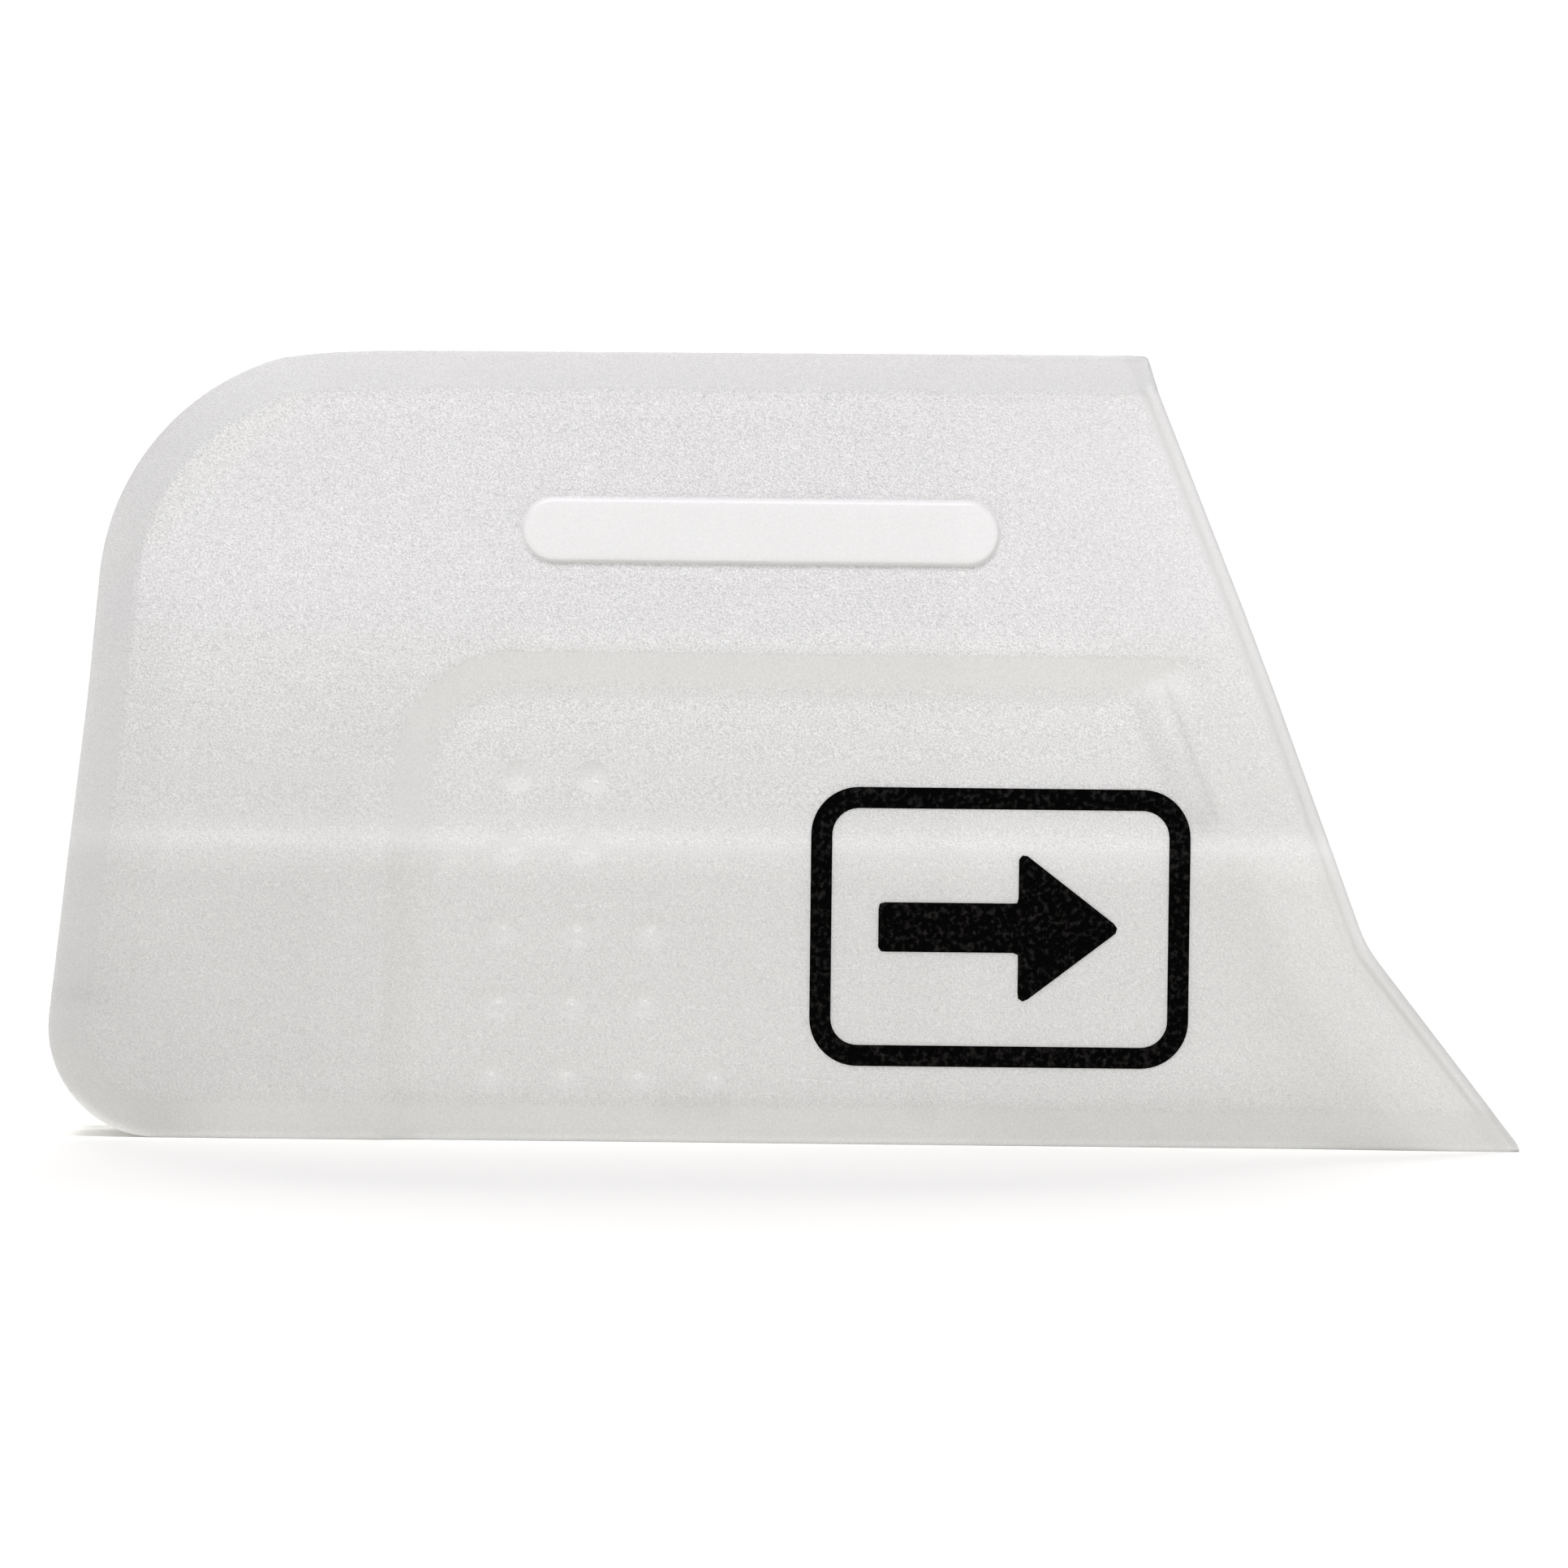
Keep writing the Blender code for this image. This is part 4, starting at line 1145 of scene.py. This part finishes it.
for ob, node in ((frame_ink, "printed_frame"), (arrow_ink, "printed_arrow")):
    ob.data.materials.append(ink_material)
    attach(ob, "root")
    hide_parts(node)

# ------------------------------------------------------------------- stage

floor_mesh = bpy.data.meshes.new("floor")
half = 6.0
floor_mesh.from_pydata(
    [(-half, -half, 0), (half, -half, 0), (half, half, 0), (-half, half, 0)],
    [],
    [(0, 1, 2, 3)],
)
floor = bpy.data.objects.new("floor", floor_mesh)
bpy.context.scene.collection.objects.link(floor)
floor.location.z = -0.000001
floor_material = bpy.data.materials.new("floor")
floor_material.use_nodes = True
floor_shader = floor_material.node_tree.nodes["Principled BSDF"]
floor_shader.inputs["Base Color"].default_value = (0.895, 0.898, 0.852, 1)
floor_shader.inputs["Roughness"].default_value = 0.9
floor_shader.inputs["Specular IOR Level"].default_value = 0.1
floor_mesh.materials.append(floor_material)
# painted light: a faint glow in the floor under the heel's rounded corner, which lifts the shade where the corner
# lifts off the table
ft = floor_material.node_tree
f_coord = ft.nodes.new("ShaderNodeTexCoord")
f_split = ft.nodes.new("ShaderNodeSeparateXYZ")
ft.links.new(f_coord.outputs["Object"], f_split.inputs["Vector"])
f_glow = None
for axis, lo_hi in (("X", (-0.0325, -0.0365)), ("X", (-0.0480, -0.0415)), ("Y", (-0.0115, -0.0085)), ("Y", (0.0200, 0.0090))):
    f_range = ft.nodes.new("ShaderNodeMapRange")
    f_range.interpolation_type = "SMOOTHSTEP"
    f_range.inputs["From Min"].default_value = min(lo_hi)
    f_range.inputs["From Max"].default_value = max(lo_hi)
    rising = lo_hi[0] < lo_hi[1]
    f_range.inputs["To Min"].default_value = 0.0 if rising else 1.0
    f_range.inputs["To Max"].default_value = 1.0 if rising else 0.0
    ft.links.new(f_split.outputs[axis], f_range.inputs["Value"])
    if f_glow is None:
        f_glow = f_range.outputs["Result"]
        continue
    f_mul = ft.nodes.new("ShaderNodeMath")
    f_mul.operation = "MULTIPLY"
    ft.links.new(f_glow, f_mul.inputs[0])
    ft.links.new(f_range.outputs["Result"], f_mul.inputs[1])
    f_glow = f_mul.outputs[0]
f_power = ft.nodes.new("ShaderNodeMath")
f_power.operation = "MULTIPLY"
f_power.inputs[1].default_value = 0.18
ft.links.new(f_glow, f_power.inputs[0])
floor_shader.inputs["Emission Color"].default_value = (1.0, 0.99, 0.98, 1)
ft.links.new(f_power.outputs[0], floor_shader.inputs["Emission Strength"])

world = bpy.data.worlds.new("studio")
bpy.context.scene.world = world
world.use_nodes = True
wt = world.node_tree
wt.nodes.clear()
w_out = wt.nodes.new("ShaderNodeOutputWorld")
w_bg = wt.nodes.new("ShaderNodeBackground")
w_bg.inputs["Strength"].default_value = 1.0
w_coord = wt.nodes.new("ShaderNodeTexCoord")
w_split = wt.nodes.new("ShaderNodeSeparateXYZ")
w_range = wt.nodes.new("ShaderNodeMapRange")
w_range.interpolation_type = "SMOOTHSTEP"
w_range.inputs["From Min"].default_value = 0.06
w_range.inputs["From Max"].default_value = 0.13
w_range.inputs["To Min"].default_value = 1.08
w_range.inputs["To Max"].default_value = 0.25
wt.links.new(w_coord.outputs["Generated"], w_split.inputs["Vector"])
wt.links.new(w_split.outputs["Z"], w_range.inputs["Value"])
wt.links.new(w_range.outputs["Result"], w_bg.inputs["Color"])
wt.links.new(w_bg.outputs["Background"], w_out.inputs["Surface"])


def sun(name, direction, strength, spread, colour=(1, 1, 1)):
    """Even light from a wide soft source. direction points towards it."""
    data = bpy.data.lights.new(name, "SUN")
    data.energy = strength
    data.angle = math.radians(spread)
    data.color = colour
    ob = bpy.data.objects.new(name, data)
    bpy.context.scene.collection.objects.link(ob)
    ob.location = Vector(direction) * 0.8
    ob.rotation_mode = "QUATERNION"
    ob.rotation_quaternion = (-Vector(direction)).to_track_quat("-Z", "Y")
    return ob


sun("key", (-0.13, -0.36, 0.93), 2.41, 30, (1.0, 0.978, 1.05))
sun("rim", (0.0, 0.92, 0.39), 1.7, 34)

# ------------------------------------------------------------------ camera

camera_data = bpy.data.cameras.new("camera")
camera = bpy.data.objects.new("camera", camera_data)
bpy.context.scene.collection.objects.link(camera)
bpy.context.scene.camera = camera
camera_data.lens = 400.0
camera_data.sensor_width = 36.0
camera_data.clip_start, camera_data.clip_end = 0.05, 50.0
elevation = math.radians(1.2)
reach_m = 0.0858 * camera_data.lens / camera_data.sensor_width
aim = Vector((-0.00018, 0.0, 0.01946))
back_dir = Vector((0.0, -math.cos(elevation), math.sin(elevation)))
camera.location = aim + back_dir * reach_m
camera.rotation_mode = "QUATERNION"
look = (-back_dir).to_track_quat("-Z", "Y")
camera.rotation_quaternion = look @ Quaternion((0, 0, 1), math.radians(0.6175))

scene = bpy.context.scene
scene.view_settings.view_transform = "Standard"
scene.view_settings.look = "None"
